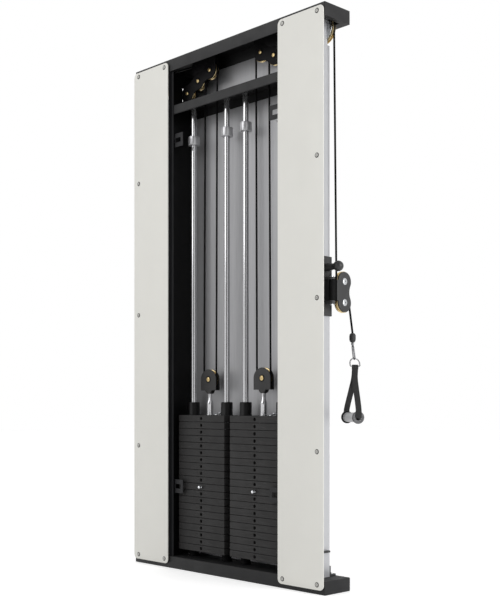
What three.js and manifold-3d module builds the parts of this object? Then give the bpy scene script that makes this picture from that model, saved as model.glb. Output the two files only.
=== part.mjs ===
// Wall pulley with two weight stacks in one cabinet. Each stack hangs on a moving pulley block, and its
// cable runs over top wheels, out to a head wheel and down to a swivelling block on a height-adjustable
// carriage. The other end goes round a foot wheel and up to the same carriage.
// Millimetres. +X is to the right seen from the front, +Y towards the wall, +Z up.
// The origin is the middle of the bottom beam's underside.
import * as THREE from 'three';
import { mergeVertices } from 'three/addons/utils/BufferGeometryUtils.js';
import Module from 'manifold-3d';

const wasm = await Module();
wasm.setup();

// Counts of plates in each stack
const restingPlateCount = 9;
const liftedPlateCount = 11;

// Gaps and cutting
const seatGap = 0.3;
const runningGap = 1;
const overrun = 2;
const weldDistance = 0.001;

// Weight stacks
const stackGap = 34;
const stackWidth = 290;
const stackDepth = 105;
const stackCentreDepth = 86;
const platePitch = 29;
const seamDepth = 2.5;
const seamHalfHeight = 1.2;
const pinHoleRadius = 7;
const bufferHeight = 30;
const bufferRadius = 22;
const bushingHeight = 55;
const bushingRadius = 25.5;

// Frame
const sheet = 2;
const bayEndGap = 23;
const panelWidth = 236;
const frameHeight = 2200;
const frameDepth = 144;
const beamHeight = 52;
const beamEdgeRadius = 4;
const channelWall = 4;
const closedEndLength = 23;
const backStripInset = 138;
const backStripDepth = 36;
const housingSetBack = 10;
const lipWidth = 14;
const crossBeamClearance = 58.95;
const crossBeamHeight = 40;
const strandHoleRadius = 9;

// Cover catches on the side walls
const catchInset = 13.5;
const catchWidth = 54;
const catchHeight = 58;
const catchDepth = 18;
const catchNeckHeight = 16;
const catchHoleInset = 5.5;
const catchHoleWidth = 34;
const catchHoleHeight = 20;
const upperCatchDrop = 380;
const lowerCatchHeight = 325;

// Front panels
const panelThickness = 4;
const panelStandOff = 4;
const panelCornerRadius = 20;
const panelTopGap = 12;
const panelBottomGap = 18;
const spacerRadius = 8;
const spacerInnerInset = 25;
const spacerOuterInset = 32;
const spacerTopDrop = 30;
const spacerBottomRise = 38;

// Guide rods and stop collars
const rodSpacing = 210;
const rodRadius = 12.5;
const collarRadius = 25;
const collarHeight = 37;
const collarDrop = 95;
const collarSlit = 3;

// Stem, selector bar and moving pulley block
const stemRadius = 14;
const stemHeight = 60;
const neckRadius = 8.5;
const neckHeight = 30;
const barWidth = 22;
const barEndGap = 4;
const boltRise = 61.5;
const yokeHalfWidth = 48;
const yokeWingDrop = 46.5;
const yokeBossRadius = 20;
const yokeFloor = 4;
const movingPitchRadius = 39;
const movingOuterRadius = 42.5;

// Selector pin
const pinRadius = 5.2;
const pinKnobRadius = 7.5;
const pinKnobStand = 9;

// Cable and wheels
const cableRadius = 3.6;
const grooveGap = 1.1;
const wheelWidth = 13;
const wheelSideGap = 1.5;
const cheekThickness = 3;
const boltRadius = 6;
const boltHeadRadius = 10;
const boltHeadHeight = 3.5;
const wheelPitchRadius = 36;
const wheelOuterRadius = 38.5;

// Top wheels of one side
const innerWheelOffset = -8;
const innerWheelDrop = 69;
const outerWheelInset = 30;
const middleWheelShare = 0.5137;
const wheelSpacing = 81.1;
const topLobeRadius = 37;
const windowMargin = 5;
const windowSideGap = 1.5;

// Column with its head wheel and foot
const columnInset = 59.5;
const columnSize = 60;
const columnWall = 4;
const columnEdgeRadius = 3;
const columnDepth = 67;
const headWheelOffset = 5.5;
const headWheelDepth = 90;
const headWheelDrop = 66;
const headPitchRadius = 51;
const headOuterRadius = 55;
const headLobeRadius = 48;
const notchBelowWheel = 9;
const footAngleHeight = 40;
const footAngleReach = 38;
const footAngleThickness = 8;
const endStopHeight = 95;
const endStopThickness = 7;
const endStopReach = 11;
const endStopWidth = 40;

// Foot wheel
const footColumnGap = 8.5;
const footRimDepth = 4;
const footLobeShare = 0.8;
const footWheelRise = 68;

// Carriage
const sleeveHeight = 226;
const sleeveBottom = 1042;
const sleeveWall = 5.7;
const sleeveGap = 0.8;
const sleeveChamfer = 6;
const hingeReach = 28;
const hingePinRadius = 5;
const hingePinEnd = 7;
const knuckleRadius = 10;
const lugRadius = 13;
const lugThickness = 12;
const lowerLugRise = 44;
const upperLugRise = 136;
const anchorRise = 20;
const anchorSize = 14;
const clampRise = 183;
const clampBossRadius = 15;
const clampBossReach = 14;
const clampStemRadius = 6;
const clampBallRadius = 20;
const clampBallReach = 61;
const clampWaistRadius = 9;

// Swivelling block
const blockOffset = 63;
const lowerBlockRise = 52;
const blockSpacing = 80;
const blockLobeRadius = 36.5;
const blockWaistReach = 27;
const blockBoltHeadRadius = 12;
const knuckleGap = 1;

// Handle
const cableLeanDegrees = 10.7;
const cableDrop = 119.68;
const handleTurnDegrees = 28;
const stopRadius = 12.5;
const stopHeight = 36;
const stopShoulder = 6;
const pivotDrop = 6;
const hookDrop = 45;
const hookLength = 58;
const hookWidth = 22;
const hookWire = 5.5;
const ringWidth = 42;
const ringHeight = 30;
const ringOverlap = 1;
const strapThickness = 3;
const strapWidth = 24;
const strapSplitRise = 145;
const gripDrop = 323;
const gripLength = 122;
const gripRadius = 16;
const gripBoreRadius = 13;
const gripDiscRadius = 24;
const gripDiscThickness = 7;

// Places worked out from the sizes above
const stackX = stackGap / 2 + stackWidth / 2;
const bayHalfWidth = stackGap / 2 + stackWidth + bayEndGap;
const panelInnerX = bayHalfWidth + sheet;
const frameHalfWidth = panelInnerX + panelWidth;
const frontY = -frameDepth / 2;
const backY = frameDepth / 2;
const housingFrontY = frontY + housingSetBack;
const stackY = frontY + stackCentreDepth;
const stackFrontY = stackY - stackDepth / 2;
const stackBottom = beamHeight + bufferHeight;
const restingTop = stackBottom + restingPlateCount * platePitch;
const stackTop = restingTop + liftedPlateCount * platePitch;
const innerRodX = stackX - rodSpacing / 2;
const outerRodX = stackX + rodSpacing / 2;
const topBeamBottom = frameHeight - beamHeight;
const cheekInner = wheelWidth / 2 + wheelSideGap;
const cheekOuter = cheekInner + cheekThickness;
const blockBottom = stackTop + stemHeight + neckHeight;
const movingWheelZ = blockBottom + boltRise;
const innerWheel = new THREE.Vector2(stackX + innerWheelOffset, frameHeight - innerWheelDrop);
const outerWheelX = bayHalfWidth - outerWheelInset;
const middleWheel = nextWheel(innerWheel, THREE.MathUtils.lerp(innerWheel.x, outerWheelX, middleWheelShare));
const outerWheel = nextWheel(middleWheel, outerWheelX);
const crossBeamTop = outerWheel.y - crossBeamClearance;
const crossBeamBottom = crossBeamTop - crossBeamHeight;
const columnX = frameHalfWidth - columnInset - columnSize / 2;
const columnY = frontY + columnDepth;
const columnTop = frameHeight - channelWall - seatGap;
const headWheel = new THREE.Vector2(columnX + headWheelOffset, frameHeight - headWheelDrop);
const headWheelY = frontY + headWheelDepth;
const headExitX = headWheel.x + headPitchRadius;
const backRunX = outerWheel.x + wheelPitchRadius;
const footSpace = columnX - columnSize / 2 - footColumnGap - footRimDepth - backRunX;
const footPitchRadius = footSpace / 2;
const footOuterRadius = footPitchRadius + footRimDepth;
const footLobeRadius = footPitchRadius * footLobeShare;
const footWheel = new THREE.Vector2(backRunX + footPitchRadius, beamHeight + footWheelRise);
const lowerRunX = footWheel.x + footPitchRadius;
const sleeveHalf = columnSize / 2 + sleeveGap + sleeveWall;
const sleeveTop = sleeveBottom + sleeveHeight;
const sleeveFaceX = columnX + sleeveHalf;
const hingeX = sleeveFaceX + hingeReach;
const lowerBlockZ = sleeveBottom + lowerBlockRise;
const upperBlockZ = lowerBlockZ + blockSpacing;
const blockY = columnY + blockOffset;
const anchorZ = sleeveBottom + anchorRise;
const clampZ = sleeveBottom + clampRise;
const cableLean = THREE.MathUtils.degToRad(cableLeanDegrees);
const leaveY = blockY + wheelPitchRadius * Math.cos(cableLean);
const leaveZ = lowerBlockZ + wheelPitchRadius * Math.sin(cableLean);
const cableEndHeight = leaveZ - cableDrop;
const handleY = leaveY + cableDrop * Math.tan(cableLean);
const strandSplitZ = middleWheel.y;

// Counts of sides and steps
const rodSides = 12;
const holeSides = 6;
const boltSides = 8;
const wheelSides = 14;
const lobeSteps = 5;
const cableSides = 8;
const arcStepDegrees = 20;
const cornerSteps = 2;

// The place of the next top wheel, at the given X and one spacing down the slope
function nextWheel(wheel, x) {
  const drop = Math.sqrt(Math.max(0, wheelSpacing ** 2 - (x - wheel.x) ** 2));
  return new THREE.Vector2(x, wheel.y - drop);
}

// A closed three.js geometry as a solid that can be joined and cut
function solidOf(geometry) {
  const bare = geometry.clone();
  bare.deleteAttribute('normal');
  bare.deleteAttribute('uv');
  const welded = mergeVertices(bare, weldDistance);
  const corners = Array.from(welded.index.array);
  const triangles = [];
  for (let i = 0; i < corners.length; i += 3) {
    const [a, b, c] = corners.slice(i, i + 3);
    if (a !== b && b !== c && c !== a) triangles.push(a, b, c);
  }
  if (signedVolume(welded.attributes.position, triangles) < 0) triangles.reverse();
  const vertProperties = new Float32Array(welded.attributes.position.array);
  const triVerts = new Uint32Array(triangles);
  return new wasm.Manifold(new wasm.Mesh({ numProp: 3, vertProperties, triVerts }));
}

// Six times the volume inside the triangles, negative where their faces point in
function signedVolume(positions, triangles) {
  const a = new THREE.Vector3();
  const b = new THREE.Vector3();
  const c = new THREE.Vector3();
  let total = 0;
  for (let i = 0; i < triangles.length; i += 3) {
    a.fromBufferAttribute(positions, triangles[i]);
    b.fromBufferAttribute(positions, triangles[i + 1]);
    c.fromBufferAttribute(positions, triangles[i + 2]);
    total += a.dot(b.cross(c));
  }
  return total;
}

function geometryOf(solid) {
  const mesh = solid.getMesh();
  const geometry = new THREE.BufferGeometry();
  geometry.setAttribute('position', new THREE.BufferAttribute(mesh.vertProperties, mesh.numProp));
  geometry.setIndex(new THREE.BufferAttribute(mesh.triVerts, 1));
  return geometry;
}

// The same solid on the other side of the cabinet
function mirrored(solid) {
  return solidOf(geometryOf(solid).scale(-1, 1, 1));
}

function join(...solids) {
  return solids.reduce((whole, next) => whole.add(next));
}

function cut(solid, ...tools) {
  return tools.reduce((rest, tool) => rest.subtract(tool), solid);
}

// Basic solids, given by their limits
function block(x0, x1, y0, y1, z0, z1) {
  const box = new THREE.BoxGeometry(x1 - x0, y1 - y0, z1 - z0);
  return solidOf(box.translate((x0 + x1) / 2, (y0 + y1) / 2, (z0 + z1) / 2));
}

function post(radius, x, y, z0, z1, sides = rodSides) {
  const cylinder = new THREE.CylinderGeometry(radius, radius, z1 - z0, sides);
  return solidOf(cylinder.rotateX(Math.PI / 2).translate(x, y, (z0 + z1) / 2));
}

function boltAlongY(radius, x, z, y0, y1, sides = boltSides) {
  const cylinder = new THREE.CylinderGeometry(radius, radius, y1 - y0, sides);
  return solidOf(cylinder.translate(x, (y0 + y1) / 2, z));
}

function boltAlongX(radius, y, z, x0, x1, sides = boltSides) {
  const cylinder = new THREE.CylinderGeometry(radius, radius, x1 - x0, sides);
  return solidOf(cylinder.rotateZ(Math.PI / 2).translate((x0 + x1) / 2, y, z));
}

// A surface of revolution about the Y axis from points of radius and height
function turned(outline, sides) {
  const points = outline.map(([radius, height]) => new THREE.Vector2(radius, height));
  return new THREE.LatheGeometry(points, sides);
}

// Plates cut from an outline drawn in one of the three planes
function plateXY(shape, z0, z1, curveSegments = cornerSteps) {
  const options = { depth: z1 - z0, bevelEnabled: false, curveSegments };
  return solidOf(new THREE.ExtrudeGeometry(shape, options).translate(0, 0, z0));
}

function plateXZ(shape, y0, y1, curveSegments = cornerSteps) {
  const options = { depth: y1 - y0, bevelEnabled: false, curveSegments };
  const plate = new THREE.ExtrudeGeometry(shape, options).rotateX(Math.PI / 2);
  return solidOf(plate.translate(0, y1, 0));
}

function plateYZ(shape, x0, x1, curveSegments = cornerSteps) {
  const options = { depth: x1 - x0, bevelEnabled: false, curveSegments };
  const plate = new THREE.ExtrudeGeometry(shape, options).rotateX(Math.PI / 2).rotateZ(Math.PI / 2);
  return solidOf(plate.translate(x0, 0, 0));
}

function outlineOf(points) {
  return new THREE.Shape(points.map(([u, v]) => new THREE.Vector2(u, v)));
}

function roundedRectangle(u0, u1, v0, v1, radius) {
  const shape = new THREE.Shape();
  shape.absarc(u1 - radius, v0 + radius, radius, -Math.PI / 2, 0);
  shape.absarc(u1 - radius, v1 - radius, radius, 0, Math.PI / 2);
  shape.absarc(u0 + radius, v1 - radius, radius, Math.PI / 2, Math.PI);
  shape.absarc(u0 + radius, v0 + radius, radius, Math.PI, Math.PI * 1.5);
  shape.closePath();
  return shape;
}

// A round-ended bar outline about two centres
function barOutline(a, b, radius) {
  const turn = Math.atan2(b.y - a.y, b.x - a.x);
  const shape = new THREE.Shape();
  shape.absarc(b.x, b.y, radius, turn - Math.PI / 2, turn + Math.PI / 2);
  shape.absarc(a.x, a.y, radius, turn + Math.PI / 2, turn + Math.PI * 1.5);
  shape.closePath();
  return shape;
}

// A route of straight stretches between points, with one step of the sweep at each point
class Route extends THREE.Curve {
  constructor(points) {
    super();
    this.points = points;
  }

  getPoint(share, target = new THREE.Vector3()) {
    const place = share * (this.points.length - 1);
    const index = Math.min(Math.floor(place), this.points.length - 2);
    return target.lerpVectors(this.points[index], this.points[index + 1], place - index);
  }

  getPointAt(share, target) {
    return this.getPoint(share, target);
  }

  getTangentAt(share, target = new THREE.Vector3()) {
    const last = this.points.length - 1;
    const index = Math.round(share * last);
    const before = this.points[Math.max(index - 1, 0)];
    const here = this.points[index];
    const after = this.points[Math.min(index + 1, last)];
    const incoming = here.clone().sub(before).normalize();
    const outgoing = after.clone().sub(here).normalize();
    return target.copy(incoming).add(outgoing).normalize();
  }
}

// A round tube along the points
function tube(points, radius, sides) {
  const section = [];
  for (let i = 0; i < sides; i += 1) {
    const angle = (i / sides) * Math.PI * 2;
    section.push([radius * Math.cos(angle), radius * Math.sin(angle)]);
  }
  const options = { steps: points.length - 1, extrudePath: new Route(points), bevelEnabled: false };
  return solidOf(new THREE.ExtrudeGeometry(outlineOf(section), options));
}

// Points round a wheel from one angle to another, placed by a function of the two flat coordinates
function arcPoints(centre, radius, fromDegrees, toDegrees, place) {
  const steps = Math.max(1, Math.ceil(Math.abs(toDegrees - fromDegrees) / arcStepDegrees));
  const points = [];
  for (let i = 0; i <= steps; i += 1) {
    const degrees = fromDegrees + ((toDegrees - fromDegrees) * i) / steps;
    const angle = THREE.MathUtils.degToRad(degrees);
    points.push(place(centre.x + radius * Math.cos(angle), centre.y + radius * Math.sin(angle)));
  }
  return points;
}

// Direction, in degrees, from a centre to where the outer tangent of two circles touches on the left
// side of the way from the first to the second
function outerTangentDegrees(a, radiusA, b, radiusB) {
  const way = Math.atan2(b.y - a.y, b.x - a.x);
  const lean = Math.asin((radiusB - radiusA) / a.distanceTo(b));
  return THREE.MathUtils.radToDeg(way + lean + Math.PI / 2);
}

const inStackPlane = (x, z) => new THREE.Vector3(x, stackY, z);
const inHeadPlane = (x, z) => new THREE.Vector3(x, headWheelY, z);
const inBlockPlane = (y, z) => new THREE.Vector3(hingeX, y, z);

// Frame pieces
function bottomBeam() {
  const section = roundedRectangle(frontY, backY, 0, beamHeight, beamEdgeRadius);
  const beam = plateYZ(section, -frameHalfWidth, frameHalfWidth);
  const bracket = footBracket();
  return join(beam, bracket, mirrored(bracket));
}

// Two cheeks and the axle of a foot wheel, standing on the bottom beam
function footBracket() {
  const base = new THREE.Vector2(footWheel.x, beamHeight - overrun);
  const cheek = barOutline(base, footWheel, footLobeRadius);
  const trim = block(footWheel.x - footPitchRadius, footWheel.x + footPitchRadius,
    frontY, backY, -footLobeRadius, beamHeight - overrun);
  const front = plateXZ(cheek, stackY - cheekOuter, stackY - cheekInner, lobeSteps);
  const rear = plateXZ(cheek, stackY + cheekInner, stackY + cheekOuter, lobeSteps);
  return join(cut(front, trim), cut(rear, trim), wheelBolt(footWheel, stackY));
}

function topBeam() {
  const section = roundedRectangle(frontY, backY, topBeamBottom, frameHeight, beamEdgeRadius);
  const beam = plateYZ(section, -frameHalfWidth, frameHalfWidth);
  const hollow = block(-frameHalfWidth + channelWall, frameHalfWidth - channelWall,
    frontY + channelWall, backY - channelWall, topBeamBottom + channelWall, frameHeight - channelWall);
  const bracket = topWheelBracket();
  return join(cut(beam, hollow, ...beamFloorOpenings()), bracket, mirrored(bracket));
}

// The floor of the top beam is open, but for its ends and a strip behind each head wheel
function beamFloorOpenings() {
  const strip = frameHalfWidth - backStripInset;
  const end = frameHalfWidth - closedEndLength;
  const low = topBeamBottom - overrun;
  const high = topBeamBottom + channelWall + overrun;
  return [block(-strip, strip, frontY + channelWall, backY - channelWall, low, high),
    block(-end, end, frontY + channelWall, backY - backStripDepth, low, high)];
}

// Two lobed cheeks and three bolts that hang in the top beam
function topWheelBracket() {
  const lobes = [barOutline(innerWheel, middleWheel, topLobeRadius),
    barOutline(middleWheel, outerWheel, topLobeRadius)];
  const hanger = outlineOf([[innerWheel.x - topLobeRadius, innerWheel.y],
    [middleWheel.x + topLobeRadius, innerWheel.y],
    [middleWheel.x + topLobeRadius, frameHeight - channelWall / 2],
    [innerWheel.x - topLobeRadius, frameHeight - channelWall / 2]]);
  const cheek = (y0, y1) => join(...lobes.map((lobe) => plateXZ(lobe, y0, y1, lobeSteps)),
    plateXZ(hanger, y0, y1));
  return join(cheek(stackY - cheekOuter, stackY - cheekInner),
    cheek(stackY + cheekInner, stackY + cheekOuter),
    wheelBolt(innerWheel, stackY), wheelBolt(middleWheel, stackY), wheelBolt(outerWheel, stackY));
}

// A wheel's bolt, with its head on the front cheek and its end screwed into the rear one
function wheelBolt(centre, y) {
  const middle = cheekInner + cheekThickness / 2;
  const shank = boltAlongY(boltRadius, centre.x, centre.y, y - middle, y + middle);
  const head = boltAlongY(boltHeadRadius, centre.x, centre.y, y - cheekOuter - boltHeadHeight, y - middle);
  return join(shank, head);
}

function crossBeam() {
  const end = bayHalfWidth - seatGap;
  const beamFront = housingFrontY + sheet + seatGap;
  const beamBack = backY - sheet - seatGap;
  const section = roundedRectangle(beamFront, beamBack, crossBeamBottom, crossBeamTop, beamEdgeRadius);
  const hollow = block(-end - overrun, end + overrun, beamFront + channelWall, beamBack - channelWall,
    crossBeamBottom - overrun, crossBeamTop - channelWall);
  const holes = [];
  for (const side of [-1, 1]) {
    for (const x of strandsAt(crossBeamTop)) {
      holes.push(post(strandHoleRadius, side * x, stackY, crossBeamBottom, crossBeamTop + overrun, boltSides));
    }
  }
  return cut(plateYZ(section, -end, end), hollow, ...holes);
}

// Where the two strands between the moving wheel and the top wheels pass a height
function strandsAt(z) {
  const share = (z - movingWheelZ) / (strandSplitZ - movingWheelZ);
  const inner = THREE.MathUtils.lerp(stackX - movingPitchRadius, innerWheel.x - wheelPitchRadius, share);
  const outer = THREE.MathUtils.lerp(stackX + movingPitchRadius, middleWheel.x - wheelPitchRadius, share);
  return [inner, outer];
}

// Back panel, side walls and the lips set back between them, with the cover catches on the walls
function housing() {
  const outer = bayHalfWidth + sheet;
  const lipEnd = bayHalfWidth - lipWidth;
  const front = housingFrontY;
  const edge = frontY - panelStandOff + seatGap;
  const half = [[lipEnd, front], [bayHalfWidth, front], [bayHalfWidth, edge], [outer, edge], [outer, backY]];
  const inner = [[bayHalfWidth, backY - sheet], [bayHalfWidth, front + sheet], [lipEnd, front + sheet]];
  const flip = (points) => points.map(([x, y]) => [-x, y]).reverse();
  const profile = outlineOf([...half, ...flip(half), ...flip(inner), ...inner]);
  const bottom = beamHeight + seatGap;
  const top = topBeamBottom - seatGap;
  const catches = [frameHeight - upperCatchDrop, lowerCatchHeight].map(coverCatch);
  const whole = join(plateXY(profile, bottom, top), ...catches, ...catches.map(mirrored));
  const opening = sideWallWindow();
  return cut(whole, opening, mirrored(opening));
}

// The window in a side wall that the outer top wheel and the cable pass through
function sideWallWindow() {
  const reach = Math.sqrt(wheelOuterRadius ** 2 - outerWheelInset ** 2) + windowMargin;
  const deep = cheekOuter + windowSideGap;
  return block(bayHalfWidth - overrun, bayHalfWidth + sheet + overrun, stackY - deep, stackY + deep,
    outerWheel.y - reach, outerWheel.y + reach);
}

// A plate with a slot that the front cover hooks into, on a neck from the side wall
function coverCatch(bottom) {
  const outer = bayHalfWidth - catchInset;
  const middle = bottom + catchHeight / 2;
  const front = frontY + catchDepth;
  const back = front + sheet;
  const plate = block(outer - catchWidth, outer, front, back, bottom, bottom + catchHeight);
  const neck = block(outer - catchHoleInset / 2, bayHalfWidth + sheet / 2, front, back,
    middle - catchNeckHeight / 2, middle + catchNeckHeight / 2);
  const slotEnd = outer - catchHoleInset;
  const slot = block(slotEnd - catchHoleWidth, slotEnd, front - overrun, back + overrun,
    middle - catchHoleHeight / 2, middle + catchHoleHeight / 2);
  return cut(join(plate, neck), slot);
}

function frontPanel() {
  const back = frontY - panelStandOff;
  const outline = roundedRectangle(panelInnerX, frameHalfWidth, panelBottomGap,
    frameHeight - panelTopGap, panelCornerRadius);
  const spacers = [];
  for (const x of [panelInnerX + spacerInnerInset, frameHalfWidth - spacerOuterInset]) {
    for (const z of [spacerBottomRise, frameHeight - spacerTopDrop]) {
      spacers.push(boltAlongY(spacerRadius, x, z, back - panelThickness / 2, frontY - seatGap));
    }
  }
  return join(plateXZ(outline, back - panelThickness, back), ...spacers);
}

// Guide rod with the clamped collar that stops the stack
function guideRod(x) {
  const collarTop = crossBeamBottom - collarDrop;
  const collarBottom = collarTop - collarHeight;
  const rod = post(rodRadius, x, stackY, beamHeight + seatGap, crossBeamTop - channelWall - seatGap);
  const ring = post(collarRadius, x, stackY, collarBottom, collarTop);
  const slit = block(x - collarSlit / 2, x + collarSlit / 2, stackY - collarRadius - overrun,
    stackY - rodRadius, collarBottom - overrun, collarTop + overrun);
  return join(rod, cut(ring, slit));
}

// A pile of plates in one body, with a bevelled seam at each joint
function platePile(bottom, count) {
  const frontProfile = seamProfile(stackY - stackDepth / 2, stackY + stackDepth / 2, bottom, count);
  const sideProfile = seamProfile(stackX - stackWidth / 2, stackX + stackWidth / 2, bottom, count);
  const alongX = plateYZ(frontProfile, stackX - stackWidth / 2, stackX + stackWidth / 2);
  const alongY = plateXZ(sideProfile, stackY - stackDepth / 2, stackY + stackDepth / 2);
  return alongX.intersect(alongY);
}

function seamProfile(u0, u1, bottom, count) {
  const left = [[u0 + seamHalfHeight, bottom]];
  for (let i = 0; i < count; i += 1) {
    const low = bottom + i * platePitch;
    const high = low + platePitch;
    left.push([u0, low + seamHalfHeight], [u0, high - seamHalfHeight]);
    if (i < count - 1) left.push([u0 + seamDepth, high]);
  }
  left.push([u0 + seamHalfHeight, bottom + count * platePitch]);
  const right = left.map(([u, v]) => [u0 + u1 - u, v]).reverse();
  return outlineOf([...left, ...right].reverse());
}

function pinHoles(bottom, count, y0, y1) {
  const holes = [];
  for (let i = 0; i < count; i += 1) {
    holes.push(boltAlongY(pinHoleRadius, stackX, bottom + (i + 0.5) * platePitch, y0, y1, holeSides));
  }
  return holes;
}

// The square bore in the plates that the selector bar runs in
function barBore(z0, z1, gap) {
  const half = barWidth / 2 + gap;
  return block(stackX - half, stackX + half, stackY - half, stackY + half, z0, z1);
}

// Plates that stay down, on the two rubber buffers round the guide rods
function restingPile() {
  const bore = (x) => post(rodRadius + runningGap, x, stackY, beamHeight, restingTop + overrun);
  const buffers = [innerRodX, outerRodX].map((x) => post(bufferRadius, x, stackY,
    beamHeight + seatGap, stackBottom + seamDepth));
  return cut(join(platePile(stackBottom, restingPlateCount), ...buffers),
    bore(innerRodX), bore(outerRodX), barBore(beamHeight, restingTop + overrun, runningGap),
    ...pinHoles(stackBottom, restingPlateCount, stackFrontY - overrun, stackY));
}

// Plates that the pin has picked up, the topmost with the two guide bushings
function liftedPile() {
  const bottom = restingTop + seatGap;
  const bushings = [innerRodX, outerRodX].map((x) => post(bushingRadius, x, stackY,
    stackTop - seamDepth, stackTop + bushingHeight));
  const bore = (x) => post(rodRadius + runningGap, x, stackY, bottom - overrun,
    stackTop + bushingHeight + overrun);
  const pile = platePile(restingTop, liftedPlateCount);
  const clearance = block(stackX - stackWidth, stackX + stackWidth, frontY, backY,
    restingTop - overrun, bottom);
  return cut(join(pile, ...bushings), clearance,
    bore(innerRodX), bore(outerRodX), barBore(bottom - overrun, stackTop + overrun, seatGap),
    ...pinHoles(restingTop, liftedPlateCount, stackFrontY - overrun, stackY));
}

// Pulley yoke, stem and drilled selector bar
function movingBlock() {
  const bar = barBore(stackBottom + barEndGap, stackTop + seatGap + overrun, 0);
  const stem = post(stemRadius, stackX, stackY, stackTop + seatGap, stackTop + stemHeight);
  const neck = post(neckRadius, stackX, stackY, stackTop + stemHeight - overrun, blockBottom + overrun);
  const holeCount = restingPlateCount + liftedPlateCount - 1;
  const holes = pinHoles(stackBottom, holeCount, stackY - barWidth, stackY + barWidth);
  return join(cut(bar, ...holes), stem, neck, yoke());
}

function yoke() {
  const bolt = new THREE.Vector2(stackX, movingWheelZ);
  const wingBottom = movingWheelZ - yokeWingDrop;
  const cheek = new THREE.Shape();
  cheek.absarc(stackX, movingWheelZ, yokeHalfWidth, 0, Math.PI);
  cheek.lineTo(stackX - yokeHalfWidth, wingBottom);
  cheek.lineTo(stackX + yokeHalfWidth, wingBottom);
  cheek.closePath();
  const boss = new THREE.Vector2(stackX, blockBottom + yokeBossRadius);
  const bossTop = wingBottom + yokeFloor;
  const bossTrim = block(stackX - yokeHalfWidth, stackX + yokeHalfWidth, stackY - cheekOuter - overrun,
    stackY + cheekOuter + overrun, bossTop, movingWheelZ);
  const round = boltAlongY(yokeBossRadius, boss.x, boss.y, stackY - cheekOuter, stackY + cheekOuter, rodSides);
  const floor = block(stackX - yokeHalfWidth, stackX + yokeHalfWidth, stackY - cheekOuter,
    stackY + cheekOuter, wingBottom, bossTop);
  return join(plateXZ(cheek, stackY - cheekOuter, stackY - cheekInner, lobeSteps),
    plateXZ(cheek, stackY + cheekInner, stackY + cheekOuter, lobeSteps),
    cut(round, bossTrim), floor, wheelBolt(bolt, stackY));
}

// Selector pin with its round knob, along -Y from its own axis
function selectorPin() {
  const shank = boltAlongY(pinRadius, 0, 0, stackFrontY - pinKnobStand, stackY + barWidth / 2);
  const knob = new THREE.SphereGeometry(pinKnobRadius, boltSides, boltSides / 2);
  return join(shank, solidOf(knob.translate(0, stackFrontY - pinKnobStand, 0)));
}

// A grooved wheel about its own Y axis
function grooveWheel(outerRadius, pitchRadius) {
  const half = wheelWidth / 2;
  const bore = boltRadius + seatGap;
  const bottom = pitchRadius - cableRadius - grooveGap;
  const outline = [[bore, -half], [outerRadius, -half], [bottom, -cableRadius], [bottom, cableRadius],
    [outerRadius, half], [bore, half], [bore, -half]];
  return solidOf(turned(outline, wheelSides));
}

// Hollow column with the head wheel's cheeks, the foot angle and the end stop for the carriage
function column() {
  const half = columnSize / 2;
  const bottom = beamHeight + seatGap;
  const inner = half - columnWall;
  const outside = roundedRectangle(columnX - half, columnX + half, columnY - half, columnY + half,
    columnEdgeRadius);
  const hollow = block(columnX - inner, columnX + inner, columnY - inner, columnY + inner,
    bottom - overrun, columnTop + overrun);
  const notch = block(columnX - columnSize, columnX + columnSize, headWheelY - cheekInner, backY,
    headWheel.y - headOuterRadius - notchBelowWheel, columnTop + overrun);
  return join(cut(plateXY(outside, bottom, columnTop), hollow, notch), headBracket(), footAngle(), endStop());
}

function headBracket() {
  const half = columnSize / 2;
  const hanger = outlineOf([[columnX - half, headWheel.y], [columnX + half, headWheel.y],
    [columnX + half, columnTop], [columnX - half, columnTop]]);
  const lobe = new THREE.Shape();
  lobe.absarc(headWheel.x, headWheel.y, headLobeRadius, 0, Math.PI * 2);
  const cheek = (y0, y1) => join(plateXZ(lobe, y0, y1, wheelSides), plateXZ(hanger, y0, y1));
  const front = cheek(headWheelY - cheekOuter, headWheelY - cheekInner);
  const rear = cheek(headWheelY + cheekInner, headWheelY + cheekOuter);
  return join(front, rear, wheelBolt(headWheel, headWheelY));
}

// An angle behind the column's foot, screwed to the bottom beam
function footAngle() {
  const half = columnSize / 2;
  const face = columnY + half;
  const bottom = beamHeight + seatGap;
  const profile = outlineOf([[face - columnWall / 2, bottom], [face + footAngleReach, bottom],
    [face + footAngleReach, bottom + footAngleThickness],
    [face + footAngleThickness, bottom + footAngleThickness],
    [face + footAngleThickness, bottom + footAngleHeight], [face - columnWall / 2, bottom + footAngleHeight]]);
  return plateYZ(profile, columnX - half + columnEdgeRadius, columnX + half - columnEdgeRadius);
}

function endStop() {
  const face = columnX + columnSize / 2;
  const bottom = beamHeight + endStopHeight;
  return block(face - columnWall / 2, face + endStopReach, columnY - endStopWidth / 2,
    columnY + endStopWidth / 2, bottom, bottom + endStopThickness);
}

// Sleeve that slides on the column, with the hinge lugs, the clamp boss and the cable anchor
function carriageSleeve() {
  const gapHalf = columnSize / 2 + sleeveGap;
  const body = chamferedSleeve();
  const hollow = block(columnX - gapHalf, columnX + gapHalf, columnY - gapHalf, columnY + gapHalf,
    sleeveBottom - overrun, sleeveTop + overrun);
  const clampHole = boltAlongX(clampStemRadius + runningGap, columnY, clampZ, columnX,
    sleeveFaceX + clampBossReach + overrun);
  const boss = boltAlongX(clampBossRadius, columnY, clampZ, sleeveFaceX - sleeveWall,
    sleeveFaceX + clampBossReach, rodSides);
  return cut(join(body, boss, hingeLug(lowerLugRise), hingeLug(upperLugRise), cableAnchor()),
    hollow, clampHole);
}

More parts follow.
